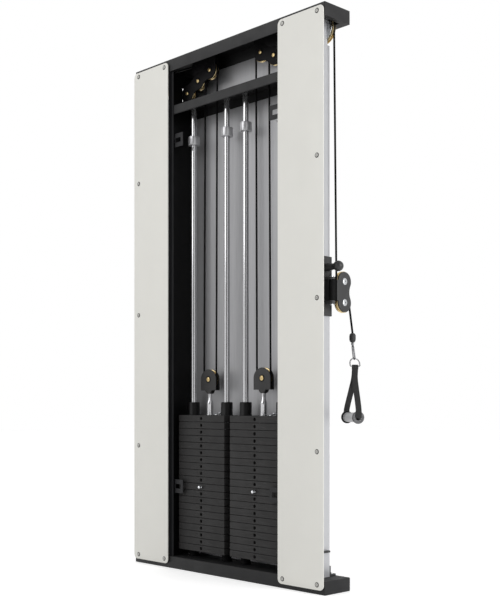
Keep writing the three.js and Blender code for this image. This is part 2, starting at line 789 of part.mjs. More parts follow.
function chamferedSleeve() {
  const low = sleeveBottom + sleeveChamfer;
  const high = sleeveTop - sleeveChamfer;
  const edge = (centre) => outlineOf([[centre - sleeveHalf + sleeveChamfer, sleeveBottom],
    [centre + sleeveHalf - sleeveChamfer, sleeveBottom], [centre + sleeveHalf, low],
    [centre + sleeveHalf, high], [centre + sleeveHalf - sleeveChamfer, sleeveTop],
    [centre - sleeveHalf + sleeveChamfer, sleeveTop], [centre - sleeveHalf, high],
    [centre - sleeveHalf, low]]);
  const alongX = plateYZ(edge(columnY), columnX - sleeveHalf, columnX + sleeveHalf);
  const alongY = plateXZ(edge(columnX), columnY - sleeveHalf, columnY + sleeveHalf);
  return alongX.intersect(alongY);
}

function hingeLug(rise) {
  const bottom = sleeveBottom + rise;
  const start = new THREE.Vector2(sleeveFaceX - sleeveWall / 2, columnY);
  const tip = new THREE.Vector2(hingeX, columnY);
  const ear = plateXY(barOutline(start, tip, lugRadius), bottom, bottom + lugThickness, lobeSteps);
  return cut(ear, post(hingePinRadius + seatGap * 2, hingeX, columnY, bottom - overrun,
    bottom + lugThickness + overrun, boltSides));
}

// A drilled block on the sleeve's inner side that the cable's far end is pinned to
function cableAnchor() {
  const face = columnX - sleeveHalf;
  const end = lowerRunX - anchorSize / 2;
  return block(end, face + sleeveWall / 2, stackY - anchorSize / 2, stackY + anchorSize / 2,
    anchorZ, anchorZ + anchorSize);
}

// Clamping screw with a ball knob
function clampKnob() {
  const tip = columnX + columnSize / 2 + seatGap;
  const ballX = sleeveFaceX + clampBallReach;
  const screw = boltAlongX(clampStemRadius, columnY, clampZ, tip, ballX);
  const waist = new THREE.CylinderGeometry(clampWaistRadius, clampBossRadius, hingeReach, boltSides);
  const waistStart = sleeveFaceX + clampBossReach + seatGap;
  const cone = waist.rotateZ(-Math.PI / 2).translate(waistStart + hingeReach / 2, columnY, clampZ);
  const ball = new THREE.SphereGeometry(clampBallRadius, rodSides, rodSides / 2);
  return join(screw, solidOf(cone), solidOf(ball.translate(ballX, columnY, clampZ)));
}

// Two cheeks in the shape of an eight, the hinge knuckle with its pin, and the wheel bolts
function swivelBlock() {
  const lower = new THREE.Vector2(blockY, lowerBlockZ);
  const upper = new THREE.Vector2(blockY, upperBlockZ);
  const knuckleBottom = sleeveBottom + lowerLugRise + lugThickness + knuckleGap;
  const knuckleTop = sleeveBottom + upperLugRise - knuckleGap;
  const arm = outlineOf([[columnY, knuckleBottom], [blockY, knuckleBottom], [blockY, knuckleTop],
    [columnY, knuckleTop]]);
  const lobe = (centre) => new THREE.Shape().absarc(centre.x, centre.y, blockLobeRadius, 0, Math.PI * 2);
  const rise = Math.sqrt(blockLobeRadius ** 2 - blockWaistReach ** 2);
  const waist = outlineOf([[blockY, lowerBlockZ + rise], [blockY + blockWaistReach, lowerBlockZ + rise],
    [blockY + blockWaistReach, upperBlockZ - rise], [blockY, upperBlockZ - rise]]);
  const cheek = (x0, x1) => join(plateYZ(arm, x0, x1), plateYZ(lobe(lower), x0, x1, rodSides),
    plateYZ(lobe(upper), x0, x1, rodSides), plateYZ(waist, x0, x1));
  const knuckle = post(knuckleRadius, hingeX, columnY, knuckleBottom, knuckleTop, boltSides);
  const pin = post(hingePinRadius, hingeX, columnY, sleeveBottom + lowerLugRise - hingePinEnd,
    sleeveBottom + upperLugRise + lugThickness + hingePinEnd, boltSides);
  return join(cheek(hingeX - cheekOuter, hingeX - cheekInner), cheek(hingeX + cheekInner, hingeX + cheekOuter),
    knuckle, pin, blockBolt(lower), blockBolt(upper));
}

function blockBolt(centre) {
  const middle = cheekInner + cheekThickness / 2;
  const shank = boltAlongX(boltRadius, centre.x, centre.y, hingeX - middle, hingeX + middle);
  const nearHead = boltAlongX(blockBoltHeadRadius, centre.x, centre.y,
    hingeX + middle, hingeX + cheekOuter + boltHeadHeight);
  const farHead = boltAlongX(blockBoltHeadRadius, centre.x, centre.y,
    hingeX - cheekOuter - boltHeadHeight, hingeX - middle);
  return join(shank, nearHead, farHead);
}

// Cable between the top wheels and under the moving wheel
function liftCable() {
  const moving = new THREE.Vector2(stackX, movingWheelZ);
  const points = [inStackPlane(innerWheel.x - wheelPitchRadius, strandSplitZ),
    ...arcPoints(moving, movingPitchRadius, 180, 360, inStackPlane),
    inStackPlane(middleWheel.x - wheelPitchRadius, strandSplitZ)];
  return tube(points, cableRadius, cableSides);
}

// Cable from above the inner strand over the inner wheel and the head wheel
function upperCable() {
  const touch = outerTangentDegrees(innerWheel, wheelPitchRadius, headWheel, headPitchRadius);
  const points = [inStackPlane(innerWheel.x - wheelPitchRadius, strandSplitZ + seatGap * 2),
    ...arcPoints(innerWheel, wheelPitchRadius, 180, touch, inStackPlane),
    ...arcPoints(headWheel, headPitchRadius, touch, 0, inHeadPlane)];
  return tube(points, cableRadius, cableSides);
}

// Cable from the outer strand over the middle and outer wheels, down outside the side wall and round
// the foot wheel
function backCable() {
  const touch = outerTangentDegrees(middleWheel, wheelPitchRadius, outerWheel, wheelPitchRadius);
  const start = inStackPlane(middleWheel.x - wheelPitchRadius, strandSplitZ + seatGap);
  const begin = 180 - arcStepDegrees / 4;
  const points = [start, ...arcPoints(middleWheel, wheelPitchRadius, begin, touch, inStackPlane),
    ...arcPoints(outerWheel, wheelPitchRadius, touch, 0, inStackPlane),
    ...arcPoints(footWheel, footPitchRadius, 180, 360, inStackPlane)];
  return tube(points, cableRadius, cableSides);
}

// Cable from the head wheel down to the swivelling block
function columnCable() {
  const entry = blockY - wheelPitchRadius;
  const points = [inHeadPlane(headExitX, headWheel.y - seatGap * 2),
    inBlockPlane(entry, upperBlockZ + seatGap * 2)];
  return tube(points, cableRadius, cableSides);
}

// Cable from the foot wheel up to the anchor on the sleeve
function lowerCable() {
  const points = [inStackPlane(lowerRunX, footWheel.y + seatGap * 2),
    inStackPlane(lowerRunX, anchorZ - seatGap)];
  return tube(points, cableRadius, cableSides);
}

// Cable through the swivelling block, between its wheels, and down to the rubber stop
function endCable() {
  const upper = new THREE.Vector2(blockY, upperBlockZ);
  const lower = new THREE.Vector2(blockY, lowerBlockZ);
  const crossing = THREE.MathUtils.radToDeg(Math.acos((2 * wheelPitchRadius) / blockSpacing));
  const endZ = cableEndHeight - stopShoulder;
  const end = inBlockPlane(leaveY + (leaveZ - endZ) * Math.tan(cableLean), endZ);
  const points = [...arcPoints(upper, wheelPitchRadius, 180, 270 - crossing, inBlockPlane),
    ...arcPoints(lower, wheelPitchRadius, 90 - crossing, cableLeanDegrees, inBlockPlane), end];
  return join(tube(points, cableRadius, cableSides), rubberStop());
}

// Barrel-shaped stop on the cable's end
function rubberStop() {
  const barrel = turned([[0, 0], [stopShoulder, 0], [stopRadius, -stopShoulder],
    [stopRadius, -stopHeight + stopShoulder], [stopShoulder, -stopHeight], [0, -stopHeight]], rodSides);
  return solidOf(barrel.rotateX(Math.PI / 2).translate(hingeX, handleY, cableEndHeight));
}

// Snap hook with its pivot ball and the ring in it, below the cable's end at the local origin
function snapHook() {
  const ball = new THREE.SphereGeometry(pivotDrop - seatGap, boltSides, boltSides / 2);
  const pivot = solidOf(ball.translate(0, 0, -stopHeight - pivotDrop));
  const hookBottom = -hookDrop - hookLength;
  const half = hookWidth / 2;
  const loop = roundedRectangle(-half, half, hookBottom, -hookDrop, half);
  loop.holes.push(roundedRectangle(-half + hookWire, half - hookWire, hookBottom + hookWire,
    -hookDrop - hookWire, half - hookWire));
  const ringTop = ringBarZ() + ringHeight;
  return join(pivot, plateXZ(loop, -hookWire / 2, hookWire / 2, cornerSteps + 1),
    plateYZ(ringOutline(ringTop), -hookWire / 2, hookWire / 2, lobeSteps + 1));
}

// A ring with a straight bar at its bottom
function ringOutline(top) {
  const half = ringWidth / 2;
  const bend = ringHeight - half;
  const bottom = top - ringHeight;
  const shape = new THREE.Shape();
  shape.absarc(0, bottom + bend, half, 0, Math.PI);
  shape.lineTo(-half, bottom);
  shape.lineTo(half, bottom);
  shape.closePath();
  const inner = new THREE.Path();
  inner.absarc(0, bottom + bend, half - hookWire, 0, Math.PI);
  inner.lineTo(-half + hookWire, bottom + hookWire);
  inner.lineTo(half - hookWire, bottom + hookWire);
  inner.closePath();
  shape.holes.push(inner);
  return shape;
}

// Height of the underside of the ring's bar, with the ring hanging in the hook
function ringBarZ() {
  return -hookDrop - hookLength + hookWire * 2 - ringOverlap - ringHeight;
}

// Webbing that loops round the ring's bar, splits and runs through the grip
function handleStrap() {
  const gripZ = -gripDrop;
  const half = strapThickness / 2;
  const neckHalf = strapThickness + seatGap;
  const splitZ = gripZ + strapSplitRise;
  const legX = gripLength / 2 + seatGap + half;
  const bendZ = gripZ + gripDiscRadius + strapThickness;
  const ringZ = ringBarZ();
  const loopHalf = hookWire / 2 + seatGap + strapThickness;
  const loopTop = ringZ + hookWire + seatGap + strapThickness;
  const outer = outlineOf([[-legX - half, gripZ - half], [legX + half, gripZ - half],
    [legX + half, bendZ], [neckHalf, splitZ + strapThickness], [neckHalf, ringZ - loopHalf],
    [loopHalf, ringZ - seatGap], [loopHalf, loopTop - half], [half, loopTop], [-half, loopTop],
    [-loopHalf, loopTop - half], [-loopHalf, ringZ - seatGap], [-neckHalf, ringZ - loopHalf],
    [-neckHalf, splitZ + strapThickness], [-legX - half, bendZ]]);
  const gap = outlineOf([[-legX + half, gripZ + half], [legX - half, gripZ + half],
    [legX - half, bendZ - half], [0, splitZ - strapThickness],
    [-legX + half, bendZ - half]]);
  outer.holes.push(gap);
  const eyeHalf = loopHalf - strapThickness;
  const eye = block(-eyeHalf, eyeHalf, -strapWidth, strapWidth, ringZ - seatGap, loopTop - strapThickness);
  return cut(plateXZ(outer, -strapWidth / 2, strapWidth / 2), eye);
}

// Tube with an end disc at each end, along its own X axis
function grip() {
  const end = gripLength / 2;
  const disc = (x0, x1) => boltAlongX(gripDiscRadius, 0, 0, x0, x1, rodSides);
  const bore = boltAlongX(gripBoreRadius, 0, 0, -end - overrun, end + overrun, rodSides);
  return cut(join(boltAlongX(gripRadius, 0, 0, -end, end, rodSides), disc(-end, -end + gripDiscThickness),
    disc(end - gripDiscThickness, end)), bore);
}

// Finishes
const finish = (color, roughness, metalness) => ({ color, roughness, metalness });
const anthracite = finish(0x3a3a3b, 0.55, 0.3);
const darkSteel = finish(0x3e3e3e, 0.6, 0.3);
const black = finish(0x1c1c1d, 0.6, 0.2);
const offWhite = finish(0xdcdbd6, 0.6, 0);
const greySheet = finish(0x8a8b8c, 0.45, 0.5);
const chrome = finish(0xd6d8da, 0.15, 1);
const brass = finish(0xb39a5c, 0.3, 1);
const aluminium = finish(0xc3c4c8, 0.3, 0.9);
const cableCoat = finish(0x0f0f10, 0.5, 0);
const webbing = finish(0x1a1a1c, 0.9, 0);

// The assembly
const part = new THREE.Group();

function addMesh(parent, name, geometry, look) {
  const mesh = new THREE.Mesh(geometry, new THREE.MeshStandardMaterial(look));
  mesh.name = name;
  parent.add(mesh);
  return mesh;
}

addMesh(part, 'bottom_beam', geometryOf(bottomBeam()), anthracite);
addMesh(part, 'top_beam', geometryOf(topBeam()), anthracite);
addMesh(part, 'cross_beam', geometryOf(crossBeam()), anthracite);
addMesh(part, 'housing', geometryOf(housing()), greySheet);

// Pieces that each side has once, at their place on the right
const sidePieces = [
  ['front_panel', frontPanel(), offWhite],
  ['guide_rod_inner', guideRod(innerRodX), chrome],
  ['guide_rod_outer', guideRod(outerRodX), chrome],
  ['resting_plates', restingPile(), darkSteel],
  ['lifted_plates', liftedPile(), darkSteel],
  ['moving_block', movingBlock(), black],
  ['column', column(), aluminium],
  ['carriage_sleeve', carriageSleeve(), black],
  ['clamp_knob', clampKnob(), black],
  ['swivel_block', swivelBlock(), black],
  ['lift_cable', liftCable(), cableCoat],
  ['upper_cable', upperCable(), cableCoat],
  ['back_cable', backCable(), cableCoat],
  ['column_cable', columnCable(), cableCoat],
  ['lower_cable', lowerCable(), cableCoat],
  ['end_cable', endCable(), cableCoat],
];

// Wheels about an axis along Y: name, solid, centre and depth
const smallWheel = grooveWheel(wheelOuterRadius, wheelPitchRadius);
const flatWheels = [
  ['moving_wheel', grooveWheel(movingOuterRadius, movingPitchRadius),
    new THREE.Vector2(stackX, movingWheelZ), stackY],
  ['top_wheel_inner', smallWheel, innerWheel, stackY],
  ['top_wheel_middle', smallWheel, middleWheel, stackY],
  ['top_wheel_outer', smallWheel, outerWheel, stackY],
  ['head_wheel', grooveWheel(headOuterRadius, headPitchRadius), headWheel, headWheelY],
  ['foot_wheel', grooveWheel(footOuterRadius, footPitchRadius), footWheel, stackY],
];
const blockWheels = [
  ['block_wheel_upper', upperBlockZ],
  ['block_wheel_lower', lowerBlockZ],
];

function addHandle(parent, prefix, side) {
  const handle = new THREE.Group();
  handle.position.set(side * hingeX, handleY, cableEndHeight);
  handle.rotation.z = -side * THREE.MathUtils.degToRad(handleTurnDegrees);
  addMesh(handle, `${prefix}_snap_hook`, geometryOf(snapHook()), chrome);
  addMesh(handle, `${prefix}_handle_strap`, geometryOf(handleStrap()), webbing);
  addMesh(handle, `${prefix}_grip`, geometryOf(grip()), aluminium).position.z = -gripDrop;
  parent.add(handle);
}

function addSide(prefix, side) {
  const group = new THREE.Group();
  for (const [name, solid, look] of sidePieces) {
    const placed = side > 0 ? solid : mirrored(solid);
    addMesh(group, `${prefix}_${name}`, geometryOf(placed), look);
  }
  for (const [name, solid, centre, y] of flatWheels) {
    addMesh(group, `${prefix}_${name}`, geometryOf(solid), brass).position.set(side * centre.x, y, centre.y);
  }
  for (const [name, z] of blockWheels) {
    const wheel = addMesh(group, `${prefix}_${name}`, geometryOf(smallWheel), brass);
    wheel.position.set(side * hingeX, blockY, z);
    wheel.rotation.z = Math.PI / 2;
  }
  const pinZ = restingTop + platePitch / 2;
  addMesh(group, `${prefix}_selector_pin`, geometryOf(selectorPin()), chrome)
    .position.set(side * stackX, 0, pinZ);
  addHandle(group, prefix, side);
  part.add(group);
}

addSide('left', -1);
addSide('right', 1);

export default part;
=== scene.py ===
import math

import bmesh
import bpy
from mathutils import Matrix, Vector


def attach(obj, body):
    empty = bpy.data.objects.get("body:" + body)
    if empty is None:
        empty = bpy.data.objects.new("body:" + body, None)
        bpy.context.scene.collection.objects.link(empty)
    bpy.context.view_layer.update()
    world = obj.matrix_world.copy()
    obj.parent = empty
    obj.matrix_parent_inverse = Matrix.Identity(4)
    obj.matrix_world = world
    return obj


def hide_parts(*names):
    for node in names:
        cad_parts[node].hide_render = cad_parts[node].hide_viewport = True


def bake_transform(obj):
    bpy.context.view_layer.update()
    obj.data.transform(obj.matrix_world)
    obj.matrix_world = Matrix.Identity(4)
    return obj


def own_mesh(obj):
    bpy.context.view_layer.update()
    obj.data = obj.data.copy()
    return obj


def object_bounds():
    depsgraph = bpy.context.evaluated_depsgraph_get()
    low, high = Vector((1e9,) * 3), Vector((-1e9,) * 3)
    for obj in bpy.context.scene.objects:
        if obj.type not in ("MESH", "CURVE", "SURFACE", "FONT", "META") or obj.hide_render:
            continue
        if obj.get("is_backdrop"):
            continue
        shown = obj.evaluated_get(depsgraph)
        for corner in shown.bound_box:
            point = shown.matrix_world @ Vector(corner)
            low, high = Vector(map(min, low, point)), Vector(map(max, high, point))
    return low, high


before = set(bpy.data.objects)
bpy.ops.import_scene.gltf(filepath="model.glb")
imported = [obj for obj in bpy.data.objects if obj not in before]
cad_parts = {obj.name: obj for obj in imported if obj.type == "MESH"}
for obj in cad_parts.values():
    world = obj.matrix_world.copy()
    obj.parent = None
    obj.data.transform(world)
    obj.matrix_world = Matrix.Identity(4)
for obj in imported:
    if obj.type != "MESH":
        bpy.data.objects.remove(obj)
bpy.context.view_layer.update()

MM = 0.001
SIDES = (("right", 1), ("left", -1))
SHARED = ("bottom_beam", "top_beam")

# Camera
camera_data = bpy.data.cameras.new("camera")
camera_data.sensor_width = 36
camera_data.lens = 61.08
camera_data.shift_y = 0.17247
camera_data.clip_end = 60
camera = bpy.data.objects.new("camera", camera_data)
camera.location = (3.078687, -2.885756, 0.711137)
camera.rotation_euler = (math.radians(90), 0, 0.80181)
bpy.context.scene.collection.objects.link(camera)
bpy.context.scene.camera = camera

# Places and sizes, as in the part's source, apart from the cable, which is drawn 0.4 wider all round
STACK_X = 162
ROD_XS = (STACK_X - 105, STACK_X + 105)
STACK_Y = 14
STACK_HALF = 145
STACK_FRONT = -38.5
STACK_BACK = 66.5
PITCH = 29
SEAM = 0.8
RESTING_COUNT = 9
LIFTED_COUNT = 11
STACK_BOTTOM = 82
RESTING_TOP = 343
STACK_TOP = 662
MOVING_Z = 813.5
INNER = (154, 2131)
MIDDLE = (229, 2100.14)
OUTER = (300, 2060.95)
HEAD = (484, 2134)
FOOT = (386, 120)
HEAD_Y = 18
COLUMN_X = 478.5
COLUMN_Y = -5
COLUMN_HALF = 30
PANEL_FRONT = -80
ON_BAR = 52.3
HINGE_X = 543
BLOCK_Y = 58
LOWER_Z = 1094
UPPER_Z = 1174
HANDLE_Y = 116
HANDLE_Z = 981
CABLE = 4

# Radii at the cable's middle, and the brackets' cheeks on both sides of a wheel
WHEEL = 36
MOVING_WHEEL = 39
HEAD_WHEEL = 51
FOOT_WHEEL = 50
CHEEK_IN = 8
CHEEK_OUT = 11
CHEEKS = ((-CHEEK_OUT, -CHEEK_IN), (CHEEK_IN, CHEEK_OUT))


# Meshes
def weld(mesh, gap=0.002):
    """Joins corners that lie on each other and turns every face outwards."""
    bm = bmesh.new()
    bm.from_mesh(mesh)
    bmesh.ops.remove_doubles(bm, verts=bm.verts, dist=gap)
    bmesh.ops.recalc_face_normals(bm, faces=bm.faces)
    bm.to_mesh(mesh)
    bm.free()
    return mesh


def mesh_of(points, faces):
    mesh = bpy.data.meshes.new("shape")
    mesh.from_pydata([tuple(p) for p in points], [], faces)
    return weld(mesh)


def together(*meshes):
    bm = bmesh.new()
    for mesh in meshes:
        bm.from_mesh(mesh)
    whole = bpy.data.meshes.new("shape")
    bm.to_mesh(whole)
    bm.free()
    return whole


PLANES = {
    "XY": Matrix(((1, 0, 0, 0), (0, 1, 0, 0), (0, 0, 1, 0), (0, 0, 0, 1))),
    "XZ": Matrix(((1, 0, 0, 0), (0, 0, 1, 0), (0, 1, 0, 0), (0, 0, 0, 1))),
    "YZ": Matrix(((0, 0, 1, 0), (1, 0, 0, 0), (0, 1, 0, 0), (0, 0, 0, 1))),
}


def arc(u, v, radius, start, end, steps=16):
    """Points of an arc, in degrees, both ends included."""
    made = []
    for i in range(steps + 1):
        a = math.radians(start + (end - start) * i / steps)
        made.append((u + radius * math.cos(a), v + radius * math.sin(a)))
    return made


def circle(u, v, radius, steps=40):
    return arc(u, v, radius, 0, 360 - 360 / steps, steps - 1)


def rounded(u0, u1, v0, v1, radius, steps=8):
    return (
        arc(u1 - radius, v0 + radius, radius, -90, 0, steps)
        + arc(u1 - radius, v1 - radius, radius, 0, 90, steps)
        + arc(u0 + radius, v1 - radius, radius, 90, 180, steps)
        + arc(u0 + radius, v0 + radius, radius, 180, 270, steps)
    )


def plate(outlines, low, high, plane, bevel=0.6):
    """A plate with bevelled edges. The first outline is the outside, and the others are holes."""
    curve = bpy.data.curves.new("outline", "CURVE")
    curve.dimensions = "2D"
    curve.fill_mode = "BOTH"
    curve.extrude = (high - low) / 2 - bevel
    curve.bevel_depth = bevel
    curve.bevel_resolution = 1
    curve.offset = -bevel
    for points in outlines:
        spline = curve.splines.new("POLY")
        spline.points.add(len(points) - 1)
        for place, (u, v) in zip(spline.points, points):
            place.co = (u, v, 0, 1)
        spline.use_cyclic_u = True
    shape = bpy.data.objects.new("outline", curve)
    bpy.context.scene.collection.objects.link(shape)
    graph = bpy.context.evaluated_depsgraph_get()
    mesh = bpy.data.meshes.new_from_object(shape.evaluated_get(graph), depsgraph=graph)
    bpy.data.objects.remove(shape)
    bpy.data.curves.remove(curve)
    mesh.transform(Matrix.Translation((0, 0, (low + high) / 2)))
    mesh.transform(PLANES[plane])
    return weld(mesh)


AXES = {
    "X": Matrix(((0, 0, 1, 0), (1, 0, 0, 0), (0, 1, 0, 0), (0, 0, 0, 1))),
    "Y": Matrix(((1, 0, 0, 0), (0, 0, 1, 0), (0, 1, 0, 0), (0, 0, 0, 1))),
    "Z": Matrix.Identity(4),
}


def revolve(profile, at, axis="Z", steps=48):
    """A surface of revolution from points of radius and height, about an axis through a place."""
    points, rings, faces = [], [], []
    closed = profile[0] == profile[-1]
    for radius, height in profile[:-1] if closed else profile:
        if radius == 0:
            rings.append([len(points)] * steps)
            points.append((0, 0, height))
            continue
        rings.append([len(points) + i for i in range(steps)])
        for i in range(steps):
            a = math.tau * i / steps
            points.append((radius * math.cos(a), radius * math.sin(a), height))
    pairs = list(zip(rings, rings[1:] + rings[:1])) if closed else list(zip(rings, rings[1:]))
    for low, high in pairs:
        for i in range(steps):
            j = (i + 1) % steps
            face = [low[i], low[j], high[j], high[i]]
            face = [f for k, f in enumerate(face) if f not in face[:k]]
            if len(face) > 2:
                faces.append(face)
    mesh = mesh_of(points, faces)
    mesh.transform(Matrix.Translation(at) @ AXES[axis])
    return weld(mesh)


def rod(radius, low, high, at, axis="Z", chamfer=0.6, steps=32):
    """A round bar between two heights along an axis, with its ends chamfered."""
    profile = [(0, low), (radius - chamfer, low), (radius, low + chamfer), (radius, high - chamfer),
               (radius - chamfer, high), (0, high)]
    return revolve(profile, at, axis, steps)


def slab(low, high, bevel=0.6, segments=2):
    """A box between two corners, with its edges rounded."""
    bm = bmesh.new()
    size = [b - a for a, b in zip(low, high)]
    middle = [(a + b) / 2 for a, b in zip(low, high)]
    bmesh.ops.create_cube(bm, size=1, matrix=Matrix.Translation(middle) @ Matrix.Diagonal((*size, 1)))
    bmesh.ops.bevel(bm, geom=bm.edges[:], offset=bevel, segments=segments, profile=0.5, affect="EDGES")
    mesh = bpy.data.meshes.new("shape")
    bm.to_mesh(mesh)
    bm.free()
    return mesh


def tube(points, radius, sides=14, closed=False):
    """A round tube along points."""
    points = [Vector(p) for p in points]
    count = len(points)
    section = [(math.cos(math.tau * i / sides), math.sin(math.tau * i / sides)) for i in range(sides)]
    made, faces = [], []
    normal = None
    for i, point in enumerate(points):
        before = points[(i - 1) % count] if closed or i else point
        after = points[(i + 1) % count] if closed or i < count - 1 else point
        way = (after - before).normalized()
        if normal is None:
            normal = way.orthogonal().normalized()
        normal = (normal - way * normal.dot(way)).normalized()
        other = way.cross(normal)
        made += [point + normal * (radius * u) + other * (radius * v) for u, v in section]
    stretches = count if closed else count - 1
    for i in range(stretches):
        a, b = i * sides, ((i + 1) % count) * sides
        faces += [(a + k, a + (k + 1) % sides, b + (k + 1) % sides, b + k) for k in range(sides)]
    if not closed:
        faces += [tuple(range(sides)), tuple(range((count - 1) * sides, count * sides))]
    return mesh_of(made, faces)


def ribbon(points, half_width, half_thickness, closed=False):
    """Webbing along points in the XZ plane, as wide as it is along Y, with rounded selvedges."""
    points = [Vector((u, 0, v)) for u, v in points]
    count = len(points)
    edge = half_thickness * 0.8
    flat = half_thickness * 0.3
    section = [(-half_width, -flat), (-half_width + edge, -half_thickness), (0, -half_thickness),
               (half_width - edge, -half_thickness), (half_width, -flat), (half_width, flat),
               (half_width - edge, half_thickness), (0, half_thickness),
               (-half_width + edge, half_thickness), (-half_width, flat)]
    sides = len(section)
    made, faces = [], []
    for i, point in enumerate(points):
        before = points[(i - 1) % count] if closed or i else point
        after = points[(i + 1) % count] if closed or i < count - 1 else point
        way = (after - before).normalized()
        across = way.cross(Vector((0, 1, 0)))
        made += [point + Vector((0, w, 0)) + across * t for w, t in section]
    for i in range(count if closed else count - 1):
        a, b = i * sides, ((i + 1) % count) * sides
        faces += [(a + k, a + (k + 1) % sides, b + (k + 1) % sides, b + k) for k in range(sides)]
    if not closed:
        faces += [tuple(range(sides)), tuple(range((count - 1) * sides, count * sides))]
    return mesh_of(made, faces)


def lobes(centres, radius, waist):
    """A scalloped outline round a chain of equal circles, drawn in by rounded waists between them."""
    def side(chain):
        made = []
        for (ua, va), (ub, vb) in zip(chain, chain[1:]):
            gap = math.hypot(ub - ua, vb - va)
            along = math.atan2(vb - va, ub - ua)
            fillet = (gap * gap / 4 + waist * waist - radius * radius) / (2 * (radius - waist))
            rise = waist + fillet
            touch = math.degrees(math.atan2(rise, gap / 2))
            middle = ((ua + ub) / 2 + rise * math.sin(along), (va + vb) / 2 - rise * math.cos(along))
            base = math.degrees(along)
            made.append(((ua, va), base - touch, middle, fillet, base))
        return made

    forward = side(centres)
    back = side(centres[::-1])
    outline = []
    for chain in (forward, back):
        entry = None
        for (ua, va), leave, middle, fillet, base in chain:
            if entry is not None:
                outline += arc(ua, va, radius, entry, leave if leave > entry else leave + 360, 10)
            a = math.radians(leave)
            outline.append((ua + radius * math.cos(a), va + radius * math.sin(a)))
            half = base - 90 - leave
            outline += arc(middle[0], middle[1], fillet, leave + 180, leave + 180 + 2 * half, 8)[1:-1]
            entry = base - 90 + half
        last = centres[-1] if chain is forward else centres[0]
        finish = (back if chain is forward else forward)[0][1]
        while finish <= entry:
            finish += 360
        outline += arc(last[0], last[1], radius, entry, finish, 24)[:-1]
    return outline


# Materials
def srgb(level):
    share = level / 255
    return share / 12.92 if share <= 0.04045 else ((share + 0.055) / 1.055) ** 2.4


def colour(red, green, blue, gain=1.0):
    return (srgb(red) * gain, srgb(green) * gain, srgb(blue) * gain, 1)


class Look:
    """A material whose nodes are added one at a time."""

    def __init__(self, name):
        self.material = bpy.data.materials.new(name)
        self.material.use_nodes = True
        self.tree = self.material.node_tree
        self.shader = self.tree.nodes["Principled BSDF"]

    def node(self, kind, values=None, **settings):
        made = self.tree.nodes.new("ShaderNode" + kind)
        for name, value in settings.items():
            setattr(made, name, value)
        for name, value in (values or {}).items():
            made.inputs[name].default_value = value
        return made

    def link(self, source, target):
        self.tree.links.new(source, target)

    def place(self, scale=(1, 1, 1), turn=(0, 0, 0)):
        mapping = self.node("Mapping", {"Scale": scale, "Rotation": turn})
        self.link(self.node("TexCoord").outputs["Object"], mapping.inputs["Vector"])
        return mapping.outputs["Vector"]

    def noise(self, place, scale, detail=3.0, rough=0.5):
        made = self.node("TexNoise", {"Scale": scale, "Detail": detail, "Roughness": rough})
        self.link(place, made.inputs["Vector"])
        return made.outputs["Fac"]

    def bands(self, place, scale, direction, distortion=0.0):
        made = self.node("TexWave", {"Scale": scale, "Distortion": distortion}, wave_type="BANDS",
                         bands_direction=direction, wave_profile="SIN")
        self.link(place, made.inputs["Vector"])
        return made.outputs["Fac"]

    def blend_colours(self, factor, dark, light, low=0.35, high=0.65):
        ramp = self.node("ValToRGB")
        ramp.color_ramp.elements[0].position = low
        ramp.color_ramp.elements[0].color = dark
        ramp.color_ramp.elements[1].position = high
        ramp.color_ramp.elements[1].color = light
        self.link(factor, ramp.inputs["Fac"])
        return ramp.outputs["Color"]

    def spread(self, factor, low, high):
        made = self.node("MapRange", {"From Min": 0.3, "From Max": 0.7, "To Min": low, "To Max": high})
        self.link(factor, made.inputs["Value"])
        return made.outputs["Result"]

    def math(self, operation, a, b):
        made = self.node("Math", operation=operation)
        for socket, value in zip(made.inputs, (a, b)):
            if isinstance(value, (int, float)):
                socket.default_value = value
            else:
                self.link(value, socket)
        return made.outputs["Value"]

    def bump(self, height, strength, distance, under=None):
        made = self.node("Bump", {"Strength": strength, "Distance": distance})
        self.link(height, made.inputs["Height"])
        if under is not None:
            self.link(under, made.inputs["Normal"])
        return made.outputs["Normal"]


GRAIN_DEPTH = 0.0002


def surface(name, tone, rough, metal=0.0, spread=0.08, patches=7, rough_spread=0.06, grain=0.15,
            grain_scale=700, stretch=(1, 1, 1), **sockets):
    """A coated, cast or bare surface: uneven tone and gloss in patches, with a fine grain."""
    look = Look(name)
    still = look.place()
    drawn = look.place(stretch)
    patch = look.noise(still, patches, 4)
    fine = look.noise(drawn, grain_scale, 2, 0.6)
    dark = colour(*tone, gain=1 - spread)
    light = colour(*tone, gain=1 + spread)
    mixed = look.math("ADD", look.math("MULTIPLY", patch, 0.6), look.math("MULTIPLY", fine, 0.4))
    look.link(look.blend_colours(mixed, dark, light), look.shader.inputs["Base Color"])
    gloss = look.noise(drawn, patches * 3, 5)
    look.link(look.spread(gloss, rough - rough_spread, rough + rough_spread),
              look.shader.inputs["Roughness"])
    look.link(look.bump(fine, grain, GRAIN_DEPTH), look.shader.inputs["Normal"])
    look.shader.inputs["Metallic"].default_value = metal
    for socket, value in sockets.items():
        look.shader.inputs[socket].default_value = value
    return look


SPECULAR = "Specular IOR Level"
DULL = {SPECULAR: 0.12}
HALF_DULL = {SPECULAR: 0.3}
anthracite = surface("anthracite_coat", (24, 24, 25), 0.55, grain=0.35, grain_scale=900,
                     **HALF_DULL).material
black_coat = surface("black_coat", (40, 40, 41), 0.48, grain=0.3, grain_scale=900).material
cast_plate = surface("plate_coat", (34, 33, 33), 0.6, spread=0.12, grain=0.5, grain_scale=500,
                     **HALF_DULL).material
off_white = surface("panel_coat", (226, 225, 219), 0.55, spread=0.015, grain=0.12,
                    grain_scale=1100).material
chrome = surface("chrome", (214, 216, 219), 0.09, 1.0, spread=0.03, rough_spread=0.03, grain=0.02).material
zinc = surface("zinc", (196, 198, 200), 0.28, 1.0, spread=0.06, grain=0.1).material
rod_chrome = surface("rod_chrome", (196, 196, 198), 0.14, 0.85, spread=0.02, rough_spread=0.03,
                     grain=0.02).material
